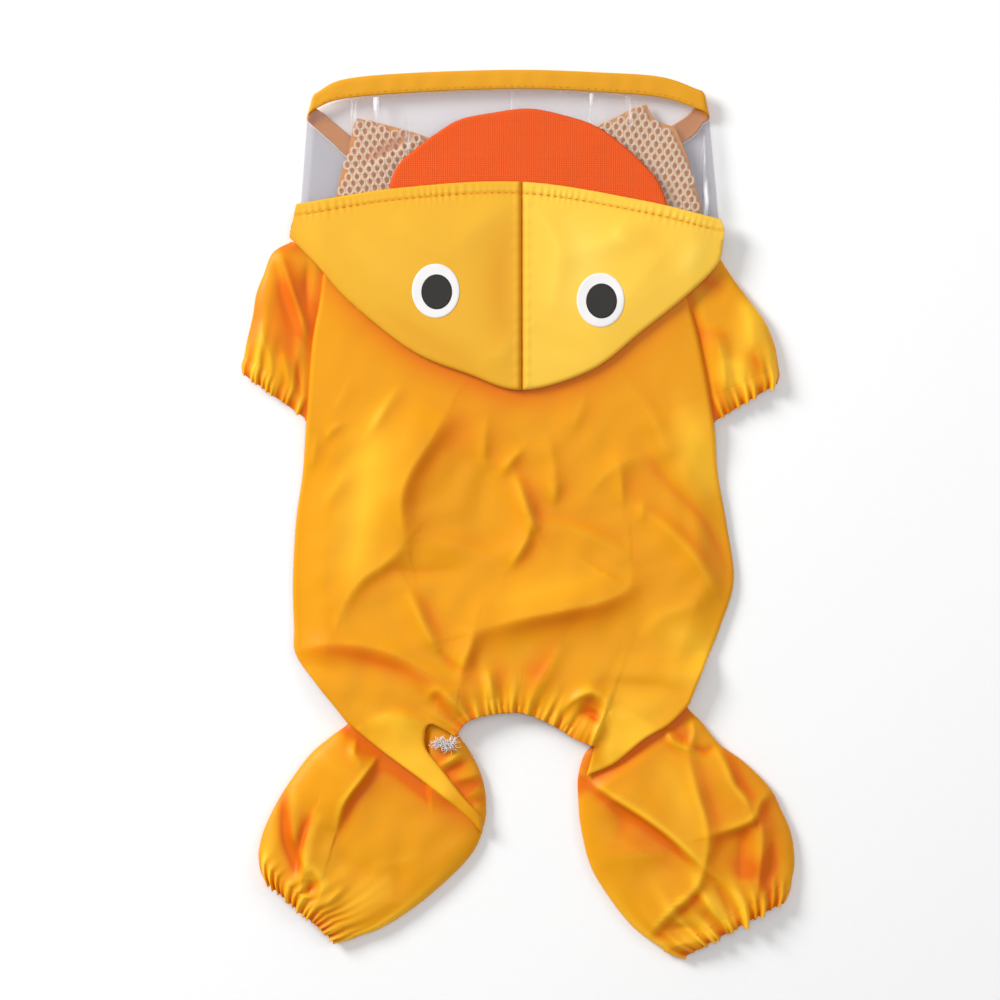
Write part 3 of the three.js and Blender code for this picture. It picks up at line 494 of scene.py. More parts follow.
def declare(piece, area):
    """Print the piece's area beside the area of the flat cut that it was laid from, given in square metres.
    """
    got = sum(p.area for p in piece.data.polygons)
    print(piece.name, "covers", round(got * 1e4), "square cm and was cut from", round(area * 1e4))


# %% [markdown]
# ## Outlines shared by the pieces
# These are the coat's own sizes, the same as in the solids: the side edges of the back at each
# height, the tail edge that the elastic draws into an arc, and the hood's front and lower curves.

# %% The back's edges, the tail edge and the hood's curves
BACK = np.array([
    (114, -80.4, 68.4, 5.9, 6.4), (102, -83.8, 71.0, 5.9, 6.4), (91, -85.1, 74.0, 5.9, 6.4),
    (73, -88.2, 78.7, 5.9, 6.3), (39, -90.7, 84.7, 5.9, 6.1), (18, -92.1, 86.3, 3.4, 5.6),
    (-3, -95.0, 89.9, 2.8, 5.6), (-28, -96.3, 93.1, 2.8, 5.4), (-48, -95.8, 87.3, 2.9, 5.4),
    (-60, -95.0, 82.6, 3.4, 5.6), (-74, -85.1, 76.9, 6.6, 6.6), (-81, -79.4, 74.0, 7.3, 7.3),
    (-89, -73.1, 70.0, 7.3, 7.3),
])
LEFT, RIGHT, EDGE, MIDDLE = [flowing(BACK[:, 0], BACK[:, k]) for k in range(1, 5)]
HEM = rounded(
    [(-26.2, -95), (-21.1, -88.6), (-10.3, -85.6), (2.1, -85.1), (14.6, -89.9), (24.5, -95.9),
     (33.1, -99.3)], 60
)
FRONT = [(-94.6, 133.3), (-50.3, 140.2), (2.1, 142.8), (52.9, 135), (87.3, 126.8)]
FOLD = [
    (-97.6, 119.1), (-85.6, 106.6), (-71.8, 91.2), (-45.1, 70.1), (-21.1, 60.2), (2.1, 53.3),
    (31.8, 61.9), (53.3, 78.3), (73.5, 94.6), (86, 107.5), (88.4, 117.4),
]
print("tail edge along the elastic:", round(float(run_along(HEM)[-1]), 1), "mm")

# %% [markdown]
# ## Gathers
# Elastic shortens an edge, and the spare cloth stands up in gathers that are narrow at the elastic
# and open out and fade away from it. Even waves would look like pleating, so each gather gets its
# own place, height and length from the fixed chance function.

# %% What a row of gathers adds
def gathers(part, away, count, seed, high=0.9, length=9.0, sharp=0.30):
    """part runs from 0 to 1 along the elastic, away is the distance from it."""
    z = np.zeros(part.shape)
    close, far = np.clip(away, 0, 40), np.clip(away, 0, 99)
    for k in range(count):
        middle = (k + 0.5 + 0.85 * (chance(k, seed) - 0.5)) / count
        tall = high * (0.4 + 1.15 * chance(k, seed, 3))
        reach = length * (0.55 + 1.4 * chance(k, seed, 7) ** 2)
        wide = sharp / count * (0.8 + 0.5 * chance(k, seed, 5)) * (1 + close / (1.1 * length))
        lean = (chance(k, seed, 9) - 0.5) * 0.02 * close / length
        z += tall * np.exp(-((far / reach) ** 1.3)) * bell(part - middle - lean, wide)
    return z - 0.45 * high * np.exp(-far / (0.7 * length))


print("a gather's height near the elastic:", float(gathers(np.array([0.52]), np.array([1.0]), 25, 1)[0]))

# %% [markdown]
# ## Back panel
# One piece from the neck to the tail. It lies slack, so soft creases run across it from the tucks
# over the thighs. Its side edges are pressed folds that turn down to the belly, and its two lower
# corners lie over the legs. The creases are listed one by one, a few of them steep on one side.

# %% The creases of the back
BACK_CREASES = [
    ([(-29.7, 44.3), (-36.5, 32.2), (-46.0, 17.2), (-49.0, 6.5), (-48.6, -4.3),
      (-46.9, -12.9)], 5, 13, 1.7),
    ([(-46.9, -10.8), (-55.5, -20.2), (-65.8, -27.5), (-72.2, -35.7), (-75.2, -43.0)], 4, 10, 1.2),
    ([(-49.4, 55.9), (-55.5, 47.3), (-63.2, 34.8)], 3, 4, 0.8),
    ([(-74.4, 39.1), (-79.1, 36.5), (-82.1, 31.8)], 2.5, 3, 0.5),
    ([(-0.4, 17.6), (2.6, 8.6), (6.0, -1.3), (9.0, -7.3)], 3, 5, 1.4),
    ([(6.5, -2.1), (3.9, -11.2), (-3.0, -22.8)], 2.6, 6, 1.1),
    ([(3.0, 29.2), (-2.1, 23.6), (-6.9, 17.6)], 2.5, 4, 0.7),
    ([(-13.3, 32.2), (-13.8, 24.5), (-10.8, 19.4)], 3, 4, 0.4),
    ([(17.2, 15.0), (16.3, 4.7)], 2.5, 4, 0.6),
    ([(44.3, 21.1), (45.6, 3.0)], 2.2, 5, 0.6),
    ([(54.2, 6.5), (53.8, -3.0)], 2, 3, 0.35),
    ([(29.2, 7.7), (40.9, 20.2), (55.0, 25.4)], 5, 5, 0.6),
    ([(55.0, 25.8), (66.7, 11.6), (80.0, -2.1), (91.6, -25.8)], 5, 5, -0.6),
    ([(56.3, 1.3), (68.4, -8.6), (78.7, -20.2), (86.9, -34.8)], 3, 7, 1.0),
    ([(49.0, -21.9), (48.2, -31.4), (35.7, -37.8), (18.5, -41.7), (1.3, -45.1),
      (-18.5, -50.3)], 6, 14, 1.8),
    ([(9.0, -2.1), (27.1, -6.5), (40.9, -12.9), (48.2, -20.2)], 4, 8, 0.7),
    ([(-57.6, -22.8), (-41.7, -24.5), (-22.8, -22.8)], 5, 6, -0.7),
    ([(-46.4, -32.2), (-42.1, -40.9), (-38.7, -48.6), (-33.1, -58.9)], 3, 6, 1.2),
    ([(-95.0, -58.9), (-80.4, -55.9), (-63.2, -57.2), (-48.2, -62.4), (-30.1, -73.5)], 7, 6, 1.0),
    ([(-17.6, -47.7), (-19.8, -55.9), (-23.2, -65.8), (-24.5, -72.7)], 3.5, 8, 1.4),
    ([(-34.0, -58.0), (-27.9, -64.1), (-21.5, -68.8)], 3, 4, -0.7),
    ([(19.4, -85.6), (23.2, -80.0), (29.7, -76.5), (35.7, -78.3), (38.7, -83.8)], 5, 2.4, 1.5),
    ([(26.2, -85.6), (32.2, -85.1), (36.5, -89.0)], 3, 3, -1.0),
    ([(-64.9, -89.9), (-52.0, -86.0), (-39.1, -88.2)], 3, 8, 1.2),
    ([(-38.7, -78.3), (-34.0, -75.2), (-27.9, -80.8), (-24.5, -86.4)], 5, 3, 1.2),
    ([(19.4, -56.3), (10.3, -71.0), (6.0, -80.8)], 6, 4, 1.1),
    ([(24.9, -74.4), (44.3, -72.2), (63.6, -74.4), (75.2, -76.1)], 6, 8, -0.8),
    ([(38.3, -83.4), (34.8, -91.6), (31.4, -97.6)], 3, 5, 0.9),
    ([(52.9, -53.8), (62.4, -43.4), (78.7, -38.3)], 7, 7, 0.7),
    ([(-74.0, -53.8), (-76.5, -46.0), (-74.4, -38.3)], 4, 5, 0.5),
    ([(-85.5, 34.2), (-88.0, 19.4)], 2.5, 4, 0.5),
    ([(-12.5, 42.6), (-15.1, 24.5)], 4, 6, 0.5),
    ([(13.3, 32.2), (15.9, 19.8), (15.1, 6.5)], 3, 5, 0.5),
    ([(-71.8, 19.4), (-82.1, 3.9)], 4, 5, 0.45),
    ([(-46.0, -9.0), (-12.5, -16.8), (0.4, -11.6)], 5, 6, 0.5),
    ([(-12.5, -66.0), (-9.9, -78.7)], 2.5, 4, 0.7),
    ([(47.3, 58.0), (60.0, 40.0), (66.0, 24.0)], 5, 7, 0.5),
    ([(-70.0, 60.0), (-78.0, 44.0)], 4, 5, 0.5),
    ([(30.0, 52.0), (24.0, 36.0)], 4, 5, 0.5),
]
BACK_SWELLS = [
    ([(-36, 60), (-50, 20), (-52, -12)], 26, 18, 1.6),
    ([(80, 60), (88, 10), (84, -50)], 10, 26, 1.1),
    ([(52, -28), (10, -41), (-28, -53)], 15, 20, 1.6),
    ([(-95, -58), (-60, -57), (-30, -72)], 14, 12, 0.9),
    ([(-10, 30), (-15, 0), (-10, -25)], 12, 12, -0.8),
]
# painted light (-) on the lit band, right side and thigh flaps; painted shade (+) under the hood's fold and
# in troughs
BACK_TONES = [
    ([(-56.8, 49.5), (-62.4, 28.0), (-67.5, -2.2), (-71.0, -32.3)], 12, 12, -0.5),
    (FOLD, 5, 9, 0.45),
    ([(55.0, 25.8), (66.7, 11.6), (80.0, -2.1), (91.6, -25.8)], 4, 4, 0.2),
    ([(70.0, 48.0), (78.0, 28.0), (84.0, 6.5)], 11, 11, -0.6),
    ([(60.0, -45.0), (80.0, -60.0), (66.0, -74.0)], 12, 12, -0.45),
    ([(-93.3, -58.0), (-74.0, -58.9), (-50.3, -65.8), (-31.0, -75.3)], 5, 5, 0.3),
    ([(-20.2, -74.4), (2.1, -65.8), (24.9, -75.3)], 8, 8, 0.2),
    ([(-61.0, -98.9), (-46.0, -109.7), (-28.8, -124.7)], 12, 12, -0.9),
    ([(-66.0, -84.0), (-50.0, -90.0), (-42.0, -98.0)], 8, 8, -0.4),
    ([(52.9, -86.0), (46.4, -96.8), (37.8, -107.5)], 13, 13, -0.8),
    ([(29.2, -81.7), (35.7, -90.3)], 3, 3, 0.6),
    ([(62.0, 30.0), (50.0, 5.0)], 9, 9, 0.12),
    ([(-20.0, 46.0), (-30.0, 24.0)], 12, 12, 0.2),
    ([(-12.0, -38.0), (12.0, -32.0), (36.0, -26.0)], 8, 8, -0.2),
]
BACK_OUTLINE = np.vstack([
    rounded([(-80.4, 114), (-40, 108), (0, 106), (40, 108), (68.4, 114)], 30),
    rounded([(BACK[k, 2], BACK[k, 0]) for k in range(1, 12)], 120),
    rounded([(74, -81.3), (65.4, -89.9), (54.6, -96.3), (41.7, -106.6), (29.7, -112)], 40)[1:],
    HEM[::-1],
    rounded([(-26.2, -95), (-31.5, -92.4), (-37.2, -89.8), (-39.3, -93), (-39.0, -99.8), (-33.5, -107.1),
             (-22.4, -121.3), (-15.6, -129), (-15, -136.7)], 60)[1:],
    rounded([(-15, -136.7), (-23.2, -128.1), (-40.9, -114), (-58.5, -101), (-73.1, -89)], 50)[1:],
    rounded([(BACK[k, 1], BACK[k, 0]) for k in range(1, 12)], 120)[::-1],
])
print("creases on the back:", len(BACK_CREASES))

# %% The back's height
TAIL_GATHERS = {"count": 25, "seed": 2, "high": 1.45, "length": 10.5}
BACK_RING = closed_line(even_outline(BACK_OUTLINE, 2.0))


def over_thighs(x, y):
    left = smooth(-8, -22, x) * smooth(-64, -77, y)
    right = smooth(18, 31, x) * smooth(-58, -71, y)
    return np.maximum(left, right)


def back_plain(x, y):
    """The back without its turned edge: pressed sides, fuller middle, lifted where it lies over the legs."""
    left, right, at = LEFT(y), RIGHT(y), np.clip(y, -89, 114)
    amid = smooth(0, 15, np.minimum(x - left, right - x))
    over = over_thighs(x, y)
    tail = smooth(-70, -86, y) * (1 - over)
    plain = EDGE(at) + (MIDDLE(at) - EDGE(at)) * amid
    folds = 1.7 * creased(BACK_CREASES, x, y) + 1.3 * creased(BACK_SWELLS, x, y) * amid
    folds += slack(x, y, 0.2) * amid
    folds *= 0.3 + 0.7 * smooth(56, 36, y)
    away, _, part = beside(HEM, x, y)
    spread = gathers(part, away, **TAIL_GATHERS) * smooth(0.0, 0.02, part) * smooth(1.0, 0.98, part)
    tips = 2.0 * smooth(-120, -136, y) + 1.4 * smooth(-99, -112, y) * (x > 0)
    return plain * (1 - over) + (7.3 - tips) * over - 2.0 * tail + folds + spread


def back_height(x, y):
    z = back_plain(x, y)
    over = over_thighs(x, y)
    base = 1.3 + 3.2 * over
    turn = turned(off_line(BACK_RING, x, y), 1.4 - 0.5 * over)
    return z - (z - base) * turn * smooth(1.5, 5, off_line(HEM, x, y))


# Painted shade from the folds and tones, deeper in the gathers' valleys and near the elastic, with painted
# highlight on the gathers' crests.
def back_shade(x, y):
    away, _, part = beside(HEM, x, y)
    wave = gathers(part, away, **TAIL_GATHERS)
    return fold_shade(BACK_CREASES, BACK_TONES, x, y) - 0.42 * wave + 0.22 * np.exp(-away / 5)


def near_hem(x, y):
    return off_line(HEM[::4], x, y) < 17


BACK_PIECE = laid(
    "back_panel_cloth", BACK_OUTLINE, back_height, COAT, "coat_cloth",
    pitch=1.05, fine=near_hem, fine_pitch=0.55, shade=back_shade, ridges=BACK_CREASES,
)
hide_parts("back_panel")
declare(BACK_PIECE, 0.0405)

# %% [markdown]
# ## Elastic casing at the tail
# The tail edge is turned over a narrow elastic. The casing ruffles more tightly than the cloth above
# it, with a crest or hollow every two or three millimetres and a ragged lower line. A strip that
# follows the arc gives that, with as many gathers as the cloth above it but its own unevenness.

# %% The casing strip
def ruffled_strip(name, line, lift, depth, count, seed, tall=0.55, steps=8, per=14):
    """A ruffled casing beside a line, depth mm wide on its left, with its top at lift(x, y)."""
    line = rounded(line, per * count)
    along = np.gradient(line, axis=0)
    along /= np.linalg.norm(along, axis=1)[:, None]
    side = np.stack([-along[:, 1], along[:, 0]], 1)
    part = np.linspace(0, 1, len(line))
    points, painted_shade = [], []
    for j in range(steps + 1):
        v = j / steps
        wave = sum(
            (0.6 + 0.8 * chance(k, seed))
            * bell(part - (k + 0.5 + 0.5 * (chance(k, seed, 2) - 0.5)) / count, 0.30 / count)
            for k in range(count)
        ) - 0.5
        out = depth * v + (0.35 * (1 - v) - 0.1) * wave
        x, y = (line + side * out[:, None]).T
        belly = math.sin(math.pi * v) * 0.25
        z = lift(x, y) + tall * wave + belly
        points.append(np.column_stack([x, y, z]))
        # painted shade in the casing's valleys and painted highlight on its crests
        painted_shade.append(np.clip(0.62 - 0.55 * wave, 0, 1))
    faces = quads(steps, len(line), closed=False)
    return mesh_of(name, np.vstack(points), faces, COAT, np.concatenate(painted_shade), 0.5)


def casing_lift(x, y):
    return back_plain(np.clip(x, -60, 60), y) * 0.55 + 2.2


TAIL = ruffled_strip("tail_casing", HEM, casing_lift, depth=4.2, count=25, seed=4)
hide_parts("tail_elastic")
declare(TAIL, 0.0004)

# %% [markdown]
# ## Hind legs and sleeves
# Each is a tube cut in one piece, gathered at its cuff and pressed flat as it lies. A row of cross
# sections from the body to the cuff gives its two folds, and each section becomes a ring: a fuller
# upper layer with the creases, a flat lower layer on the table, and a tight fold at each side.

# %% The sections of legs and sleeves
LEG_LEFT = [
    (-70.0, -80.0, -30.0, -84.0, 4.0), (-71.8, -88.6, -25.6, -93.7, 5.2),
    (-80.0, -95.2, -20.2, -101.6, 5.6),
    (-88.6, -102.6, -15.6, -111.0, 5.8), (-97.2, -114.0, -13.3, -122.5, 6.0),
    (-103.6, -124.3, -14.4, -134.0, 5.9), (-108.8, -135.4, -20.6, -147.1, 6.2),
    (-110.7, -142.6, -39.1, -164.7, 6.2), (-111.1, -145.6, -57.0, -176.8, 6.0),
    (-111.0, -148.2, -70.5, -181.8, 6.02),
]
LEG_LEFT_CUFF = [
    (-110.8, -148.7, -70.9, -182.2, 6.0), (-110.4, -152.4, -74.4, -183.2, 5.95),
    (-108.4, -157.2, -78.2, -183.6, 5.0),
]
LEG_RIGHT = [
    (71.0, -76.0, 38.0, -84.0, 4.0), (73.5, -83.0, 33.4, -97.0, 4.2), (79.1, -88.8, 28.6, -103.6, 4.8),
    (87.0, -98.4, 26.2, -113.0, 5.6), (97.2, -105.8, 26.3, -122.0, 5.8), (108.4, -117.0, 27.2, -132.6, 6.1),
    (113.4, -126.4, 30.6, -147.9, 6.2), (117.8, -137.0, 36.4, -159.6, 6.2),
    (119.2, -148.8, 49.2, -176.4, 6.1), (118.2, -156.2, 64.0, -187.6, 6.02),
]
LEG_RIGHT_CUFF = [
    (118.0, -156.8, 64.4, -188.1, 6.0), (117.4, -161.2, 67.6, -189.4, 5.95),
    (115.6, -165.8, 71.2, -190.4, 5.0),
]
SLEEVE_LEFT = [
    (-97.0, 117.4, -79.0, 112.6, 4.0), (-104.9, 112.7, -79.0, 101.0, 4.2),
    (-108.9, 103.2, -79.4, 90.0, 4.8),
    (-112.0, 95.0, -80.0, 80.0, 5.2), (-113.6, 85.1, -80.5, 68.0, 5.4), (-115.8, 75.7, -81.0, 56.0, 5.4),
    (-117.2, 68.2, -81.6, 44.6, 4.92),
]
SLEEVE_LEFT_CUFF = [
    (-117.3, 67.6, -81.8, 44.1, 4.9), (-118.3, 64.6, -83.4, 40.6, 4.85), (-118.2, 61.0, -85.4, 37.6, 4.0),
]
SLEEVE_RIGHT = [
    (86.4, 111.4, 66.0, 106.6, 4.0), (93.3, 100.8, 66.4, 96.0, 4.2), (100.2, 91.8, 68.0, 85.0, 4.8),
    (106.6, 83.0, 70.0, 74.0, 5.4), (110.6, 73.1, 72.0, 62.0, 5.6), (112.2, 64.4, 74.0, 46.4, 5.02),
]
SLEEVE_RIGHT_CUFF = [
    (112.3, 63.8, 74.3, 45.8, 5.0), (112.8, 60.4, 76.6, 41.0, 4.95), (112.0, 56.6, 79.2, 36.8, 4.0),
]
LEG_CREASES = [
    ([(-57.2, -100.2), (-65.8, -112.2), (-74.0, -123.4), (-77.8, -136.3)], 1.6, 14, 2.2),
    ([(-70.5, -89.0), (-68.8, -95.5), (-69.7, -101.9), (-66.2, -108.8)], 2.0, 2.6, 1.0),
    ([(-100.2, -116.5), (-99.8, -134.6), (-97.2, -144.9), (-93.3, -153.5)], 3.2, 3.5, -1.5),
    ([(-96.8, -117.4), (-96.8, -133.7), (-95.0, -142.3), (-91.6, -149.2)], 4.5, 2.0, 1.3),
    ([(-88.6, -127.7), (-92.5, -140.6), (-94.6, -151.8)], 2.6, 3.0, -1.4),
    ([(-86.4, -126.8), (-90.7, -140.6), (-91.6, -149.2), (-92.5, -160.0), (-93.7, -168.1)], 6, 2.2, 1.6),
    ([(-89.4, -150.9), (-84.7, -155.2), (-83.8, -162.1), (-88.2, -169.8)], 4.5, 2.2, 1.3),
    ([(-89.0, -156.1), (-89.4, -163.8)], 3, 3, -1.2),
    ([(-74.0, -159.5), (-78.7, -163.8), (-83.0, -169.0)], 3, 3, 0.9),
    ([(-52.0, -149.2), (-50.3, -157.8), (-51.2, -166.4)], 7, 7, -0.8),
    ([(-77.8, -122.5), (-77.0, -135.4), (-73.5, -147.5), (-62.4, -153.5), (-48.6, -153.5)], 10, 8, -0.9),
    ([(-34.0, -107.9), (-28.8, -105.3), (-23.6, -101.0)], 2.2, 2.2, 1.2),
    ([(-31.4, -112.2), (-25.4, -107.9), (-20.2, -105.3)], 2.4, 2.2, -0.8),
    ([(-27.9, -114.0), (-20.2, -112.2), (-15.0, -109.6)], 3, 2.4, 0.9),
    ([(-22.4, -120.8), (-17.6, -118.7), (-13.8, -117.4)], 2, 2.4, 0.9),
    ([(-18.9, -125.1), (-13.8, -126.0)], 2, 2.4, 0.7),
    ([(-93.3, -98.5), (-80.4, -106.2), (-71.8, -118.2)], 10, 10, 0.6),
    ([(29.2, -112.7), (41.7, -121.7), (54.6, -129.9), (67.1, -139.3), (80.4, -151.8)], 13, 1.5, 2.2),
    ([(73.5, -101.5), (74.4, -106.6), (77.4, -118.7), (80.8, -129.9), (82.1, -140.6),
      (80.0, -153.5)], 3.2, 7, 1.7),
    ([(80.4, -150.9), (76.1, -160.8), (65.8, -170.3), (55.5, -181.9)], 2.0, 11, 1.9),
    ([(84.7, -96.8), (90.3, -108.4), (93.3, -115.7), (98.0, -121.7), (101.0, -129.9)], 2.0, 8, 1.7),
    ([(109.2, -117.4), (104.5, -123.4), (101.5, -129.9), (94.2, -133.7), (82.1, -137.6)], 2.0, 7, 1.6),
    ([(63.6, -89.9), (67.1, -97.2), (73.5, -100.2), (76.5, -101.9)], 2, 2.2, 1.2),
    ([(75.2, -86.9), (75.7, -94.2), (73.5, -100.2)], 2.2, 2.2, 1.2),
    ([(76.1, -100.2), (81.7, -101.0), (85.6, -97.6)], 2.4, 2.6, -0.9),
    ([(98.0, -134.6), (96.3, -144.1), (96.8, -157.8)], 6, 5, -1.5),
    ([(104.9, -127.7), (105.3, -142.3), (103.6, -158.2), (101.9, -167.3)], 3, 6, 1.6),
    ([(109.6, -139.8), (109.2, -150.9), (106.2, -158.7)], 3.6, 3.6, -1.1),
    ([(34.8, -147.5), (48.6, -144.9), (64.9, -144.1)], 6, 7, 0.8),
    ([(40.9, -122.5), (45.1, -132.0), (43.4, -140.6)], 7, 7, -1.0),
    ([(55.5, -181.9), (65.4, -184.5), (76.5, -182.8)], 3, 3, 1.2),
    ([(64.9, -177.6), (71.8, -176.7), (78.7, -179.3)], 2.8, 2.8, -1.2),
    ([(78.7, -161.2), (83.8, -169.0), (88.2, -175.9)], 3, 3, 1.0),
    ([(85.6, -158.7), (89.9, -166.4), (92.5, -173.3)], 3, 2.4, -0.9),
    ([(66.7, -165.6), (74.4, -166.4), (81.3, -170.7)], 5, 5, 0.8),
]
SLEEVE_CREASES = [
    ([(-101.9, 114.0), (-98.0, 101.9), (-93.7, 89.4), (-90.7, 80.4), (-87.7, 73.1)], 1.8, 4, 0.95),
    ([(-104.1, 108.8), (-101.0, 96.8), (-97.2, 84.7), (-93.3, 76.1)], 3.2, 4, -1.0),
    ([(-89.9, 108.8), (-90.3, 95.9), (-88.2, 83.0)], 3, 3, -1.0),
    ([(-109.6, 79.5), (-107.1, 71.0), (-104.5, 61.5)], 3, 3, 0.7),
    ([(-100.6, 70.1), (-98.5, 61.5), (-96.8, 52.9)], 3, 3, 0.8),
    ([(-94.2, 66.7), (-93.7, 58.0), (-92.0, 49.4)], 2.4, 2.4, -0.7),
    ([(96.8, 92.5), (101.0, 79.5), (99.3, 65.8)], 6, 6, 0.9),
    ([(90.7, 75.2), (93.3, 61.5), (91.6, 48.6)], 5, 5, -0.4),
    ([(103.2, 71.0), (105.3, 61.5), (104.5, 52.9)], 4, 4, 0.7),
    ([(84.7, 79.5), (88.2, 66.7), (89.9, 51.6)], 4, 3, 0.9),
]
# painted shadow (+) under the back's flaps and in the pocket, painted light (-) on open faces
LEG_TONES = [
    ([(-73, -89), (-44, -112), (-15, -135)], 1.0, 9, 0.5),
    ([(74, -81), (52, -97), (29, -113)], 9, 1.0, 0.4),
    ([(-36.5, -96.8), (-29.7, -109.7), (-16.8, -127.7)], 7, 7, 0.45),
    ([(88.2, -144.0), (98.0, -153.5), (110.9, -146.2)], 9, 9, 0.7),
    ([(-96.8, -122.6), (-96.8, -151.8)], 4, 4, 0.35),
    ([(-50.3, -157.0), (-76.0, -174.0)], 9, 9, -0.2),
    ([(-80.0, -100.0), (-92.0, -112.0)], 9, 9, -0.05),
    ([(60.0, -104.0), (72.0, -122.0), (76.0, -140.0)], 8, 8, -0.25),
    ([(60.0, -172.0), (86.0, -180.0)], 7, 7, -0.3),
    ([(40.0, -128.0), (55.0, -144.0), (70.0, -152.0)], 7, 7, 0.1),
]
# painted shade (+) beside the sleeves' folds and under the hood, painted light (-) on their open faces
SLEEVE_TONES = [
    ([(-102.0, 112.0), (-98.5, 97.0), (-94.0, 80.0), (-90.0, 72.0)], 9, 1.5, 0.45),
    ([(-107.0, 102.0), (-109.0, 82.0), (-109.0, 62.0)], 11, 11, 0.42),
    ([(-104.0, 104.0), (-99.0, 88.0), (-96.0, 66.0), (-94.0, 52.0)], 7, 7, 0.4),
    ([(74.0, 104.0), (82.0, 100.0), (90.0, 97.0)], 6, 6, 0.45),
    ([(77.0, 80.0), (85.0, 77.0), (93.0, 76.0)], 4.5, 4.5, 0.35),
    ([(84.0, 58.0), (88.0, 50.0), (90.0, 42.0)], 4, 4, 0.4),
    ([(100.0, 71.0), (104.0, 64.0), (108.0, 60.0)], 3.5, 3.5, 0.4),
    ([(98.0, 96.0), (102.0, 84.0), (96.0, 70.0)], 7, 7, -0.6),
    ([(91.0, 68.0), (95.0, 54.0)], 5, 5, -0.7),
]
THIGHS = {-1: ((-73, -89), (-15, -135)), 1: ((74, -81), (29, -113))}
print("creases on the legs:", len(LEG_CREASES), "and on the sleeves:", len(SLEEVE_CREASES))

# %% How a tube lies
SIDE_FOLD = 1.6  # half the height of the pressed fold at each side


def free_of_back(x, y, leg):
    """0 where the piece lies under the back, 1 where it lies open."""
    if leg:
        (ax, ay), (bx, by) = THIGHS[-1 if np.mean(x) < 0 else 1]
        dx, dy = bx - ax, by - ay
        side = (dx * (y - ay) - dy * (x - ax)) / math.hypot(dx, dy)
        if dx > 0:
            side = -side
        pocket = smooth(-39.5, -36.5, x) * smooth(-87, -92, y) * smooth(10, -6, x)
        return np.maximum(smooth(0.5, 9, side), pocket)
    edge = np.where(x < 0, -LEFT(y), RIGHT(y))
    return smooth(-1, 6, np.abs(x) - edge) * smooth(118, 108, y)


def tube(name, rows, steps, across, count, seed, end_from, leg, creases, tones, beneath, tucked, ruffle):
    """rows: outer x, y, inner x, y, rise. end_from is how far the elastic lies past the last row."""
    rows = np.array(rows, float)
    if end_from == 0:  # a cuff starts tucked under the end of its tube
        rows[0, :4] += (rows[0, :4] - rows[1, :4]) * 0.45
        rows[0, 4] -= 0.02
    t = np.arange(len(rows))
    fine = np.unique(np.concatenate([np.linspace(0, len(rows) - 1, steps + 1), [0.008, len(rows) - 1.008]]))
    sections = np.stack([flowing(t, rows[:, k])(fine) for k in range(5)], 1)
    centre = (sections[:, 0:2] + sections[:, 2:4]) / 2
    run = run_along(centre)
    to_end = run[-1] - run + end_from
    c = (1 - np.cos(np.pi * np.arange(across + 1) / across)) / 2
    c = 0.45 * c + 0.55 * np.arange(across + 1) / across
    full = np.sqrt(np.clip(1 - np.abs(2 * c - 1) ** 5, 0, 1))
    back = ((1 - np.cos(np.pi * np.arange(1, beneath) / beneath)) / 2)[::-1]
    back_full = np.sqrt(np.clip(1 - np.abs(2 * back - 1) ** 5, 0, 1))
    ox, oy, ix, iy, rise = [sections[:, k : k + 1] for k in range(5)]
    x, y = ox + c * (ix - ox), oy + c * (iy - oy)
    away = np.repeat(to_end[:, None], across + 1, 1)
    free = free_of_back(x, y, leg)
    low = np.minimum(rise, tucked)
    wave = gathers(np.broadcast_to(c, x.shape), away, count, seed, **ruffle)
    folds = 1.4 * creased(creases, x, y) + slack(x, y)
    high = np.maximum(low + free * (rise - low + folds + wave), 2.4)
    z = SIDE_FOLD + (high - SIDE_FOLD) * full
    # painted shade from the folds and tones, painted shadow where the tube lies under the back, painted
    # shade in the gathers' valleys and near the elastic, painted highlight on the gathers' crests
    shade = fold_shade(creases, tones, x, y)
    shade += 0.35 * (1 - smooth(0.1, 0.9, free)) - 0.5 * wave + 0.3 * np.exp(-away / 5)
    ahead = centre[-1] - centre[-2]
    ahead /= np.linalg.norm(ahead)
    ragged = 0.8 * wave * np.exp(-away / 2.2)
    x, y = x + ahead[0] * ragged, y + ahead[1] * ragged
    bx, by = ox + back * (ix - ox), oy + back * (iy - oy)
    bz = np.broadcast_to(SIDE_FOLD - SIDE_FOLD * back_full, bx.shape)
    points = np.stack([np.hstack([x, bx]), np.hstack([y, by]), np.hstack([z, bz])], 2).reshape(-1, 3)
    painted_shade = np.hstack([np.clip(shade, 0, 1), np.full(bx.shape, 0.55)]).ravel()
    n = across + 1 + len(back)
    faces = [(a, d, c, b) for a, b, c, d in quads(len(sections) - 1, n)]
    faces = facing_up(points, faces, (across // 2) + n * (steps // 2))
    made = mesh_of(name, points, faces, COAT, painted_shade, 0.25)
    print(name, "has", len(faces), "faces")
    return made


# %% Legs, sleeves and their cuffs
LEG = {
    "leg": True, "creases": LEG_CREASES, "tones": LEG_TONES, "beneath": 40, "tucked": 4.2,
    "ruffle": {"high": 1.7, "length": 13.0},
}
SLEEVE = {
    "leg": False, "creases": SLEEVE_CREASES, "tones": SLEEVE_TONES, "beneath": 24, "tucked": 4.0,
    "ruffle": {"high": 1.35, "length": 12.0},
}
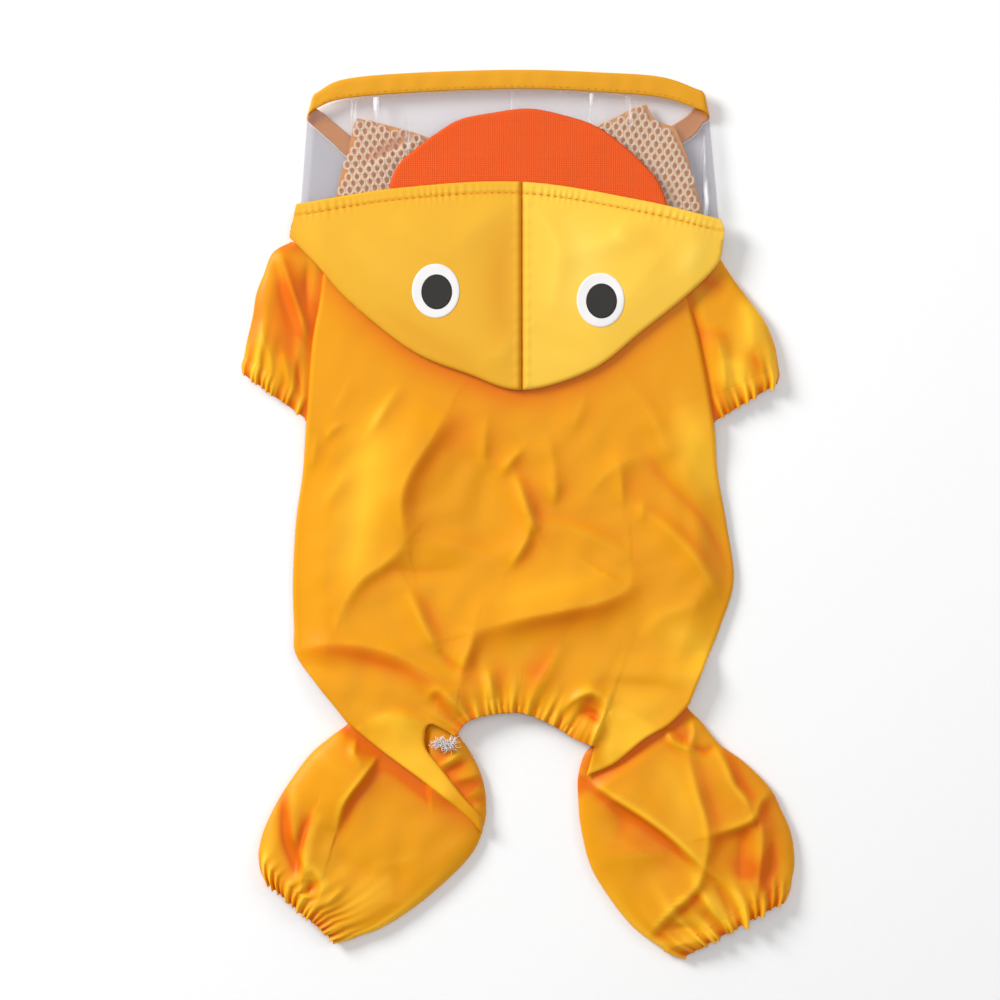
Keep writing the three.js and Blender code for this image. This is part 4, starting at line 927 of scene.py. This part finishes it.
# name, kind, sections, rings, points across, gathers, seed, distance to the elastic, flat size, area
TUBES = [
    ("leg_left", LEG, LEG_LEFT, 110, 190, 19, 11, 6.0, (0.165, 0.098), 0.0135),
    ("leg_right", LEG, LEG_RIGHT, 110, 190, 18, 23, 6.6, (0.175, 0.104), 0.0150),
    ("leg_left_cuff", LEG, LEG_LEFT_CUFF, 12, 240, 19, 11, 0.0, (0.155, 0.012), 0.0007),
    ("leg_right_cuff", LEG, LEG_RIGHT_CUFF, 12, 240, 18, 23, 0.0, (0.165, 0.012), 0.0008),
    ("sleeve_left", SLEEVE, SLEEVE_LEFT, 60, 120, 14, 31, 7.5, (0.095, 0.06), 0.0046),
    ("sleeve_right", SLEEVE, SLEEVE_RIGHT, 60, 120, 13, 37, 9.1, (0.095, 0.06), 0.0046),
    ("sleeve_left_cuff", SLEEVE, SLEEVE_LEFT_CUFF, 12, 160, 14, 31, 0.0, (0.1, 0.01), 0.00065),
    ("sleeve_right_cuff", SLEEVE, SLEEVE_RIGHT_CUFF, 12, 160, 13, 37, 0.0, (0.1, 0.01), 0.00065),
]
for name, kind, rows, steps, across, count, seed, end, flat, area in TUBES:
    piece = tube(name + "_cloth", rows, steps, across, count, seed, end, **kind)
    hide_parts(name)
    declare(piece, area)

# %% [markdown]
# ## Hood
# Two panels joined along the crown. They lie over the shoulders with the lower edge folded under, so
# that edge is a soft roll with returned layers inside. The front edge is turned and topstitched, and
# the stitching puckers it. A crown seam is a narrow valley, because the two edges turn down into it.

# %% The hood's height
HOOD_SECTION = np.array([
    (-98, 132.6, 119), (-86, 135.0, 107), (-72, 137.2, 91.4), (-45, 140.8, 70.1), (-21, 142.2, 60.2),
    (2, 142.8, 53.3), (32, 139.0, 61.9), (53, 135.0, 78.3), (74, 130.2, 95), (89, 126.4, 112),
])
HOOD_FRONT = flowing(HOOD_SECTION[:, 0], HOOD_SECTION[:, 1])
HOOD_LOWER = flowing(HOOD_SECTION[:, 0], HOOD_SECTION[:, 2])
CROWN = 2.1
HOOD_CREASES = [
    ([(-52.5, 129.0), (-41.7, 118.2), (-26.7, 108.8)], 11, 11, 0.6),
    ([(-71.0, 121.7), (-58.9, 106.2), (-41.7, 92.5)], 12, 12, 0.5),
    ([(-3.9, 135.4), (-20.2, 120.0), (-27.9, 105.3)], 9, 9, 0.45),
    ([(8.2, 133.7), (18.5, 114.0), (15.0, 84.7)], 9, 11, 0.7),
    ([(57.2, 129.4), (40.9, 117.4), (16.8, 110.5)], 8, 8, 0.6),
    ([(68.4, 121.7), (52.9, 101.0), (29.7, 79.5)], 9, 9, 0.5),
    ([(-2.1, 79.5), (-7.3, 68.4), (-20.2, 64.1)], 7, 7, 0.4),
    ([(8.2, 83.0), (18.5, 73.1), (35.7, 70.1)], 8, 8, -0.4),
    ([(48.6, 129.0), (43.4, 120.0), (52.9, 113.1)], 5, 5, 0.4),
]
# painted shade (+) by the crown and lower hood, painted light (-) on the hood's broad faces
HOOD_TONES = [
    ([(-2.0, 132.0), (-8.0, 100.0), (-4.0, 66.0)], 9, 9, 0.3),
    ([(-78.0, 122.0), (-52.0, 108.0), (-30.0, 98.0)], 13, 13, -0.1),
    ([(-60.0, 90.0), (-38.0, 75.0), (-14.0, 61.0)], 7, 7, 0.2),
    ([(18.0, 128.0), (30.0, 110.0), (18.0, 86.0)], 12, 12, -0.45),
    ([(50.0, 126.0), (62.0, 112.0), (50.0, 98.0)], 8, 8, 0.15),
    ([(80.0, 118.0), (68.0, 102.0)], 7, 7, -0.3),
]
STITCH_IN = 5.0  # the topstitching's distance from the hood's front edge


def hood_plain(x, y):
    front, fold = HOOD_FRONT(x), HOOD_LOWER(x)
    full = smooth(-2, 16, y - fold) * smooth(-6, 20, front - y)
    side = smooth(-97.6, -82, x) * smooth(88.4, 74, x)
    return 8.0 + 1.1 * side + 0.9 * full * side + 1.6 * creased(HOOD_CREASES, x, y) * full


FRONT_LINE, FOLD_LINE = rounded(FRONT, 60), rounded(FOLD, 80)


def hood_height(x, y):
    z = hood_plain(x, y)
    to_front, _, part = beside(FRONT_LINE, x, y)
    to_fold = off_line(FOLD_LINE, x, y)
    pucker = np.sin(part * 62 * 2 * np.pi + 2.0 * np.sin(part * 40)) * 0.20
    z += pucker * bell(to_front - 3.8, 3.2) * (0.6 + 0.4 * np.sin(part * 23))
    z -= 0.32 * bell(to_front - STITCH_IN, 0.55)
    away = np.abs(x - CROWN)
    seam = np.sin(y * 1.05 + 0.8 * np.sin(y * 0.31)) * 0.09 * bell(away - 2.2, 1.8)
    z += seam - 1.2 * bell(away, 0.8) + 0.18 * bell(away - 2.2, 1.2)
    return z - 0.8 * turned(to_front, 0.6) - (z - 6.9) * turned(to_fold, 1.2)


# Painted shade from the folds and tones, darker along the crown seam's valley, the stitch line and the lower
# fold.
def hood_shade(x, y):
    to_front, to_fold = off_line(FRONT_LINE, x, y), off_line(FOLD_LINE, x, y)
    seam = 0.6 * bell(x - CROWN, 1.1) + 0.25 * bell(to_front - STITCH_IN, 0.9)
    return fold_shade(HOOD_CREASES, HOOD_TONES, x, y, 5.0, 0.9) + seam + 0.2 * np.exp(-to_fold / 2.5)


def near_hood_seams(x, y):
    return (off_line(FRONT_LINE[::4], x, y) < 9) | (np.abs(x - CROWN) < 5)


HOOD_OUTLINE = np.vstack([FRONT_LINE, [(88.9, 122)], FOLD_LINE[::-1]])
for side, finish in ((-1, HOOD_LEFT_PAINTED_SHADE), (1, HOOD_RIGHT_PAINTED_LIGHT)):
    name = "hood_left" if side < 0 else "hood_right"
    keep = (HOOD_OUTLINE[:, 0] - CROWN) * side > 0.6
    half = HOOD_OUTLINE[keep]
    seam_x = CROWN + 0.06 * side
    ends = [(seam_x, float(HOOD_FRONT(CROWN))), (seam_x, float(HOOD_LOWER(CROWN)))]
    split = np.interp(half[:, 0], [-98, 2, 89], [126, 98, 122.5])
    front, lower = half[half[:, 1] > split], half[half[:, 1] <= split]
    line = np.vstack([front, ends, lower] if side < 0 else [ends[:1], front, lower, ends[1:]])
    piece = laid(
        name + "_cloth", line, hood_height, finish, "hood_cloth",
        pitch=1.5, fine=near_hood_seams, fine_pitch=0.6, shade=hood_shade,
    )
    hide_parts(name)
    declare(piece, 0.0068)

# %% [markdown]
# ## Eye patches
# Plain ovals of white and dark film, pressed on with heat. Each is cut out, follows the hood under
# it and has a small rounded rim, so it catches a thin line of light like the real patch.

# %% The patches
EYES = {"left": (-34.8, 95.9), "right": (35.7, 92.0)}


def oval(cx, cy, wide, long, count=90):
    a = np.linspace(0, 2 * np.pi, count, endpoint=False)
    return np.stack([cx + wide / 2 * np.cos(a), cy + long / 2 * np.sin(a)], 1)


for side, (cx, cy) in EYES.items():
    for tone, dx, dy, wide, long, up, finish in (
        ("white", 0, 0, 20.4, 23.2, 0.30, WHITE), ("black", 0.4, -0.4, 13.2, 15.0, 0.52, BLACK),
    ):
        outline = oval(cx + dx, cy + dy, wide, long)
        rim = closed_line(outline)

        def patch_height(x, y, rim=rim, up=up):
            return hood_plain(x, y) + up - 0.15 * (1 - smooth(0, 0.5, off_line(rim, x, y)))

        piece = laid(
            "eye_%s_%s_patch" % (tone, side), outline, patch_height, finish, tone + "_print",
            pitch=1.2, edge=0.6, rows=(0.25, 0.6, 1.0), reach=2.0, wall=0.2,
        )
        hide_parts("eye_%s_%s" % (tone, side))

# %% [markdown]
# ## Visor film and its bound edge
# The visor is a short tube of clear film, sewn to the hood and bound with tape at its free edge. It
# lies pressed flat, so there are two layers of film with a round fold at each side, and the lower
# one is cut back under the chin. Both are rings between a seam line and a free line.

# %% Rings of the visor
VISOR_TOP = np.array([
    (-90.3, 129.5, -87.2, 173.8, -86.8, 180.6), (-72.0, 133.0, -75.0, 178.3, -74.4, 186.8),
    (-40.0, 137.5, -45.0, 181.0, -45.0, 189.6), (0.0, 139.0, 0.0, 182.7, 0.0, 190.9),
    (40.0, 133.0, 35.0, 181.3, 35.0, 189.8), (66.0, 127.5, 62.0, 178.9, 62.0, 187.8),
    (84.4, 121.5, 79.4, 173.4, 79.4, 181.8),
])
VISOR_UNDER = np.array([
    (-90.3, 127.0, -87.2, 166.8, -82.8, 172.6), (-80.0, 127.0, -79.5, 160.0, -77.0, 167.3),
    (-68.0, 127.0, -69.0, 151.6, -66.0, 159.6), (-40.0, 127.0, -40.0, 141.0, -40.0, 149.0),
    (0.0, 127.0, 0.0, 137.0, 0.0, 145.0), (40.0, 127.0, 40.0, 143.0, 40.0, 151.0),
    (64.0, 125.0, 66.0, 156.8, 62.0, 164.4), (75.0, 123.0, 76.5, 163.6, 72.0, 170.8),
    (84.4, 119.5, 79.8, 168.2, 75.8, 174.4),
])
TOP_COUNT, UNDER_COUNT, TURN = 110, 90, 12


def visor_ring(column, height):
    top = rounded(VISOR_TOP[:, column : column + 2], TOP_COUNT)
    under = rounded(VISOR_UNDER[:, column : column + 2], UNDER_COUNT)
    r = height / 2

    def turn(a, b, sign):
        k = np.arange(1, TURN)[:, None] / TURN
        angle = np.pi * k
        xy = a + (b - a) * k
        return np.column_stack([xy[:, :1] + sign * r * np.sin(angle), xy[:, 1:], r + r * np.cos(angle)])

    over = np.column_stack([top, np.full(len(top), height)])
    below = np.column_stack([under, np.zeros(len(under))])[::-1]
    return np.vstack([over, turn(top[-1], under[-1], 1), below, turn(top[0], under[0], -1)[::-1]])


def visor_tube(name, start, end, steps, finish, wall, move):
    n = len(start)
    points = np.vstack([move(start + (end - start) * j / steps, j / steps) for j in range(steps + 1)])
    faces = facing_up(points, quads(steps, n), 50 + n * (steps // 2))
    # painted shade: the lower pass, lying under the film, takes the deeper colour
    deep = 0.5 + 0.3 * (1 - smooth(2.0, 5.0, points[:, 2]))
    return mesh_of(name, points, faces, finish, deep, wall)


def slack_film(points, v):
    """Film keeps long shallow dents; the upper layer has them, the lower one lies on the table."""
    x, y, z = points.T
    upper = smooth(3, 6, z)
    dent = 0.30 * np.sin(x * 0.11 + 0.06 * y) * np.sin(math.pi * v) + 0.16 * np.sin(x * 0.37 - y * 0.2)
    return np.column_stack([x, y, z - upper * (0.35 + dent * 0.8)])


SEAM_RING, FILM_RING = visor_ring(0, 6.0), visor_ring(2, 6.0)
film_edge = FILM_RING * 0.985 + SEAM_RING * 0.015
film = visor_tube("visor_film_sheet", SEAM_RING, film_edge, 26, FILM, 0.2, slack_film)
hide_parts("visor_film")
declare(film, 0.0115)

TAPE_IN, TAPE_OUT = visor_ring(2, 6.3), visor_ring(4, 6.3)


def tape_form(points, v):
    """Tape doubled over the film's edge: rounded across, and pulled slightly as it was sewn."""
    x, y, z = points.T
    crown = 0.45 * (1 - (2 * v - 1) ** 4)
    pull = 0.12 * np.sin(x * 0.55 + 1.3 * np.sin(x * 0.13)) * math.sin(math.pi * v)
    up = smooth(2.5, 4, z)
    return np.column_stack([x, y, z - up * (0.5 - crown - pull) + (1 - up) * (0.45 - crown)])


tape_start = TAPE_IN + (TAPE_OUT - TAPE_IN) * 0.01
tape = visor_tube("visor_binding_tape", tape_start, TAPE_OUT, 14, TAPE, 1.1, tape_form)
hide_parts("visor_binding")
declare(tape, 0.0045)

# %% [markdown]
# ## Brim
# One stiff piece of orange cloth over the film, its straight edge caught in the hood's front seam. It
# is slightly domed and its edge is turned, so it casts a thin shadow on the film.

# %% The brim
BRIM_OUTLINE = np.vstack([
    rounded([(-54.4, 136.4), (-54.2, 143.2), (-50.3, 150.9), (-42.6, 157.8), (-34.4, 163.8),
             (-24.9, 169.4), (-12, 172.2),
             (5.6, 174.2), (24.1, 170.3), (34.4, 166.4), (44.3, 159.5), (53.3, 151.4), (60.6, 142.8),
             (65, 131.5)], 90),
    rounded([(65, 129.6), (33, 134), (2.1, 137.6), (-26, 137.4), (-54.4, 136.4)], 40)[1:-1],
])
BRIM_RING = closed_line(BRIM_OUTLINE)


def brim_height(x, y):
    turn = turned(off_line(BRIM_RING, x, y), 1.0)
    dome = 0.35 * bell(x - 4, 34) * smooth(176, 150, y)
    soft = 0.10 * np.sin(x * 0.16 + 0.6) * np.sin(y * 0.19)
    return 7.35 + dome + soft - 0.9 * turn


brim = laid("brim_cloth", BRIM_OUTLINE, brim_height, BRIM, "brim_cloth", pitch=1.8, wall=0.6, most=1.6)
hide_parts("brim")
declare(brim, 0.0042)

# %% [markdown]
# ## Throat panel and the net lining
# Under the film two corners of the hood's lining show: a knitted net with oval holes in staggered
# rows, lying on yellow cloth. Each hole is real, as a ring of faces from a cell's edge to its oval,
# so the cloth beneath shows through and shades it. At the left the net is folded once.

# %% The throat panel
THROAT_OUTLINE = np.vstack([
    [(-78.2, 106.3), (-78.4, 114), (-83, 124)],
    rounded([(-78, 135.4), (-75.7, 146.2), (-72.7, 155.2), (-71, 163.4), (-69.7, 170.5)], 20),
    rounded([(-69.7, 170.5), (-58.5, 168.1), (-41.7, 163.4), (-20, 155), (0, 152), (20, 156),
             (36.5, 168.1)], 40)[1:],
    rounded([(36.5, 168.1), (42.6, 170.7), (49, 174.2), (55.5, 176.3)], 12)[1:],
    rounded([(55.5, 176.3), (59.3, 169.8), (67.9, 166.4)], 8)[1:],
    rounded([(67.9, 166.4), (73.1, 153.9), (76.5, 141), (79.5, 132)], 14)[1:],
    [(77, 122), (65.2, 106.3)],
])


def throat_height(x, y):
    return 2.0 * smooth(110, 121, y) + 0.95 + 0.12 * np.sin(x * 0.21) * np.sin(y * 0.17)


throat = laid("throat_panel_cloth", THROAT_OUTLINE, throat_height, COAT, "coat_cloth", pitch=2.4, wall=0.3)
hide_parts("throat_panel")
declare(throat, 0.0085)

# %% The net, cell by cell
NET_ACROSS, NET_ALONG = 3.6, 2.72  # spacing of the holes in a row, and of the rows
NET_REACH = 40  # half the side of the sheet of net that a corner is cut from
NET_SIDES = 12
NET_FOLD = [
    ([(-39, 163), (-56, 153.5), (-66, 148)], 5, 1.3, 1.3),
    ([(-41, 166), (-57, 157), (-66, 151.5)], 2.4, 2.4, -0.5),
]
# painted shade by the net's fold at the left and beside it
NET_SHADE = [
    ([(-40, 165), (-56, 155.8), (-66, 150.5)], 0.8, 5, 0.9),
    ([(-50, 142), (-62, 136)], 5, 5, 0.25),
]


def net_height(x, y):
    return throat_height(x, y) + 0.75 + creased(NET_FOLD, x, y) + 0.08 * np.sin(x * 1.7) * np.sin(y * 2.3)


def net_corner(name, low, top, turn):
    """A staggered net inside the throat's outline between two corners, its rows turned by an angle."""
    border = even_outline(THROAT_OUTLINE, 1.0)
    middle = (np.array(low) + np.array(top)) / 2
    cos, sin = math.cos(turn), math.sin(turn)
    points, faces, painted_shade = [], [], []
    rows, columns = int(NET_REACH / NET_ALONG), int(NET_REACH / NET_ACROSS)
    for j in range(-rows, rows + 1):
        for i in range(-columns, columns + 1):
            u, v = (i + 0.5 * (j % 2)) * NET_ACROSS, j * NET_ALONG
            cell, hole = [], []
            for k in range(NET_SIDES):
                a = 2 * math.pi * (k + 0.5) / NET_SIDES
                beside_it = abs(math.cos(a))
                above_it = 0.66 * abs(math.sin(a)) * NET_ACROSS / (2 * NET_ALONG)
                wide = NET_ACROSS / 2 / max(beside_it, 0.5 * beside_it + above_it + 1e-9)
                flat = min(wide, NET_ACROSS * 0.60)
                cell.append((u + flat * math.cos(a), v + flat * math.sin(a)))
                swell = 1 + 0.12 * (chance(i, j, k) - 0.5)
                hole.append((u + 0.86 * swell * math.cos(a), v + 1.18 * swell * math.sin(a)))
            ring = np.array(cell + hole)
            x = middle[0] + ring[:, 0] * cos - ring[:, 1] * sin
            y = middle[1] + ring[:, 0] * sin + ring[:, 1] * cos
            # a cell counts as cut off only where more than its outer third lies past the edge
            nx, ny = x * 0.7 + x.mean() * 0.3, y * 0.7 + y.mean() * 0.3
            fits = inside(border, nx, ny) & (nx > low[0]) & (nx < top[0]) & (ny > low[1]) & (ny < top[1])
            if not fits.all():
                continue
            base = len(points)
            z = net_height(x, y)
            z[:NET_SIDES] += 0.22
            points += [tuple(p) for p in np.column_stack([x, y, z])]
            # painted highlight on each cell's outer ring, painted shade towards its hole and by the fold
            painted_shade += list(np.array([0.1] * NET_SIDES + [0.6] * NET_SIDES) + creased(NET_SHADE, x, y))
            faces += quads(1, NET_SIDES, start=base)
    made = mesh_of(name, np.array(points), faces, NET, np.array(painted_shade), 0.35)
    print(name, "has", len(points) // (2 * NET_SIDES), "holes")
    return made


net_left = net_corner("lining_left_net", (-80.5, 128.3), (-36.2, 175), 0.10)
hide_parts("lining_left")
net_right = net_corner("lining_right_net", (34.2, 124.3), (80, 178), -0.12)
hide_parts("lining_right")
declare(net_left, 0.0014)
declare(net_right, 0.0017)

# %% [markdown]
# ## Belly panels and their fastening
# These lie face down on the table and show only from below: two flat panels that overlap down the
# middle, closed by a hook and loop strip. They are finished plainly, with the coat's own cloth.

# %% Belly panels
BELLY = {
    "left": [(-78.4, 106), (-78.6, 90), (-79.8, 68), (-81, 46), (-85, 34), (-90.6, 26), (-93.6, -3),
             (-94.9, -28),
             (-94, -58), (-84, -72), (-71, -79.5), (-29.9, -83.6), (7, -83), (7, 106)],
    "right": [(65.4, 106), (65.8, 96), (67.4, 85), (71.4, 62), (73.4, 46), (78, 34), (84.6, 26),
              (88.6, -3), (91.8, -26),
              (86, -48), (79, -68), (70.9, -75.6), (37.9, -83.6), (-7, -83), (-7, 106)],
}
for side, outline in BELLY.items():
    def belly_height(x, y, side=side):
        lap = 0.0 if side == "left" else 2.6 * smooth(12, 8, x)
        return 0.75 + lap + 0.1 * np.sin(x * 0.09) * np.sin(y * 0.07)

    piece = laid("belly_%s_cloth" % side, outline, belly_height, COAT, "coat_cloth", pitch=3.0, wall=0.3)
    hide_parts("belly_" + side)
    declare(piece, 0.0170)


def strip_height(x, y):
    return 1.75 + 0.12 * np.sin(x * 4.2) * np.sin(y * 4.2)


strip_outline = [
    (-5.5, -59), (-4.5, -60), (4.5, -60), (5.5, -59), (5.5, 89), (4.5, 90), (-4.5, 90), (-5.5, 89),
]
strip = laid(
    "closure_strip", strip_outline, strip_height, HOOK, "hook_strip",
    pitch=0.7, rows=(0.4,), wall=0.8,
)
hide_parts("closure_tape")
declare(strip, 0.00164)

# %% [markdown]
# ## Stitches
# Thread shows as short rounded lengths that dip into the cloth at both ends. One small bead, drawn
# out along its line and lying on the cloth's own height, makes each of them.

# %% Rows of stitches
BEAD = 6  # sides of a stitch, and rings along it


def stitches(name, line, height, pitch=3.0, long=2.1, wide=0.5, up=0.08):
    """A row of stitches of the thread, on cloth at height(x, y)."""
    marks = rounded(line, int(run_along(line)[-1] / pitch) * 2)
    points, faces = [], []
    for k in range(1, len(marks) - 1, 2):
        way = marks[k + 1] - marks[k - 1]
        way = way / np.linalg.norm(way)
        side = np.array([-way[1], way[0]])
        base = len(points)
        for j in range(BEAD + 1):
            s = math.cos(math.pi * j / BEAD)
            r = max(math.sin(math.pi * j / BEAD), 0.12)
            at = marks[k] + way * s * long / 2
            z = float(height(np.array([at[0]]), np.array([at[1]]))[0]) + up - 0.22 * s * s
            for i in range(BEAD):
                a = 2 * math.pi * i / BEAD
                x, y = at + side * math.cos(a) * r * wide / 2
                points.append((x, y, z + math.sin(a) * r * wide / 2))
        faces += [(a, d, c, b) for a, b, c, d in quads(BEAD, BEAD, start=base)]
        faces.append(tuple(base + i for i in range(BEAD)))
        faces.append(tuple(base + BEAD * BEAD + i for i in range(BEAD - 1, -1, -1)))
    made = mesh_of(name, np.array(points), faces, THREAD)
    print(name, "has", len(points) // (BEAD * (BEAD + 1)), "stitches")
    return made


def inset(line, depth):
    along = np.gradient(line, axis=0)
    along /= np.linalg.norm(along, axis=1)[:, None]
    return line + np.stack([along[:, 1], -along[:, 0]], 1) * depth


front_row = inset(FRONT_LINE, STITCH_IN)
stitches("hood_topstitching", front_row[1:-1], hood_height)
tape_row = TAPE_IN[: TOP_COUNT + 1] * 0.84 + TAPE_OUT[: TOP_COUNT + 1] * 0.16


def tape_top(x, y):
    return np.full(x.shape, 6.05)


stitches("binding_topstitching", tape_row[2:-2, :2], tape_top, long=1.9, wide=0.42)

# %% [markdown]
# ## A tuft of raw thread
# Inside the tail edge, by the left thigh, the overlocked seam ends in a tuft of white thread with a
# dot of pink. It is a bundle of fine bent hairs, each a thin tube with its own lean.

# %% The tuft
HAIRS, HAIR_STEPS, HAIR_SIDES, HAIR_RADIUS = 150, 5, 4, 0.13


def hair(points, faces, start, way, long, seed):
    base = len(points)
    for j in range(HAIR_STEPS + 1):
        s = j / HAIR_STEPS
        bend = (chance(seed, 3) - 0.5) * 2.2
        at = np.array(start) + long * s * np.array([math.cos(way + bend * s), math.sin(way + bend * s)])
        z = 6.9 + 1.6 * math.sin(math.pi * min(s * 0.9, 1)) * (0.4 + chance(seed, 5)) - 0.6 * s
        for i in range(HAIR_SIDES):
            a = 2 * math.pi * i / HAIR_SIDES
            round_it = np.array([math.cos(a), math.sin(a), math.sin(a + 0.8)])
            points.append(tuple(np.array([at[0], at[1], z]) + HAIR_RADIUS * round_it))
    faces += [(a, d, c, b) for a, b, c, d in quads(HAIR_STEPS, HAIR_SIDES, start=base)]


tuft_points, tuft_faces = [], []
for k in range(HAIRS):
    spot = (-31.0 + 9.0 * (chance(k, 1) - 0.5), -98.2 + 3.6 * (chance(k, 2) - 0.5))
    hair(tuft_points, tuft_faces, spot, 6.28 * chance(k, 4), 1.4 + 1.6 * chance(k, 6), k)
mesh_of("raw_thread_tuft", np.array(tuft_points), tuft_faces, TUFT)
print("hairs in the tuft:", HAIRS)

# %% [markdown]
# ## Table, light and camera
# The coat is seen straight from above on a plain pale table. A wide soft lamp from the upper left
# just models the creases, with a weaker one from the right and a broad one overhead. A long lens
# keeps the coat's outline as it is measured.

# %% The table
floor_mesh = bpy.data.meshes.new("table")
TABLE_HALF, TABLE_Z = 1.5, -0.0004
corners = [(x * TABLE_HALF, y * TABLE_HALF, TABLE_Z) for x, y in ((-1, -1), (1, -1), (1, 1), (-1, 1))]
floor_mesh.from_pydata(corners, [], [(0, 1, 2, 3)])
floor = bpy.data.objects.new("table", floor_mesh)
bpy.context.scene.collection.objects.link(floor)
paper, tree = new_finish("matt_white_table")
grain = put(tree, "ShaderNodeTexNoise", {"Scale": 900.0, "Detail": 2.0})
tone = put(tree, "ShaderNodeMapRange", {"Value": grain.outputs["Fac"], "To Min": 0.95, "To Max": 0.97})
matt = put(tree, "ShaderNodeBsdfPrincipled", {"Base Color": tone.outputs[0], "Roughness": 0.9})
put(tree, "ShaderNodeOutputMaterial", {"Surface": matt.outputs[0]})
floor_mesh.materials.append(paper)

# %% Light
def lamp(name, at, size, power):
    """A round lamp of a size in metres and a power in watts, turned to the middle of the coat."""
    data = bpy.data.lights.new(name, "AREA")
    data.shape = "DISK"
    data.size = size
    data.energy = power
    made = bpy.data.objects.new(name, data)
    made.location = at
    made.rotation_euler = (-Vector(at)).to_track_quat("-Z", "Y").to_euler()
    bpy.context.scene.collection.objects.link(made)


lamp("soft_key", (-1.3, 0.85, 0.85), 0.7, 30.0)
lamp("soft_fill", (1.2, 0.4, 1.1), 0.9, 4.0)
lamp("overhead", (0.1, 0.1, 2.3), 1.2, 9.0)
world = bpy.data.worlds.new("studio")
world.use_nodes = True
backdrop = world.node_tree.nodes["Background"].inputs
backdrop["Color"].default_value = (1, 1, 1, 1)
backdrop["Strength"].default_value = 0.38
bpy.context.scene.world = world
bpy.context.scene.view_settings.view_transform = "Standard"

# %% Camera
CAMERA_UP, FRAME_WIDE = 2.0, 0.430  # metres over the table, and metres of table that the frame spans
camera_data = bpy.data.cameras.new("camera")
camera = bpy.data.objects.new("camera", camera_data)
bpy.context.scene.collection.objects.link(camera)
camera.location = (-7.31 * MM, 6.45 * MM, CAMERA_UP)
camera_data.sensor_width = 36
camera_data.lens = 36 * CAMERA_UP / FRAME_WIDE
camera_data.clip_end = 10
bpy.context.scene.camera = camera
print("the frame covers", FRAME_WIDE, "m at the table")
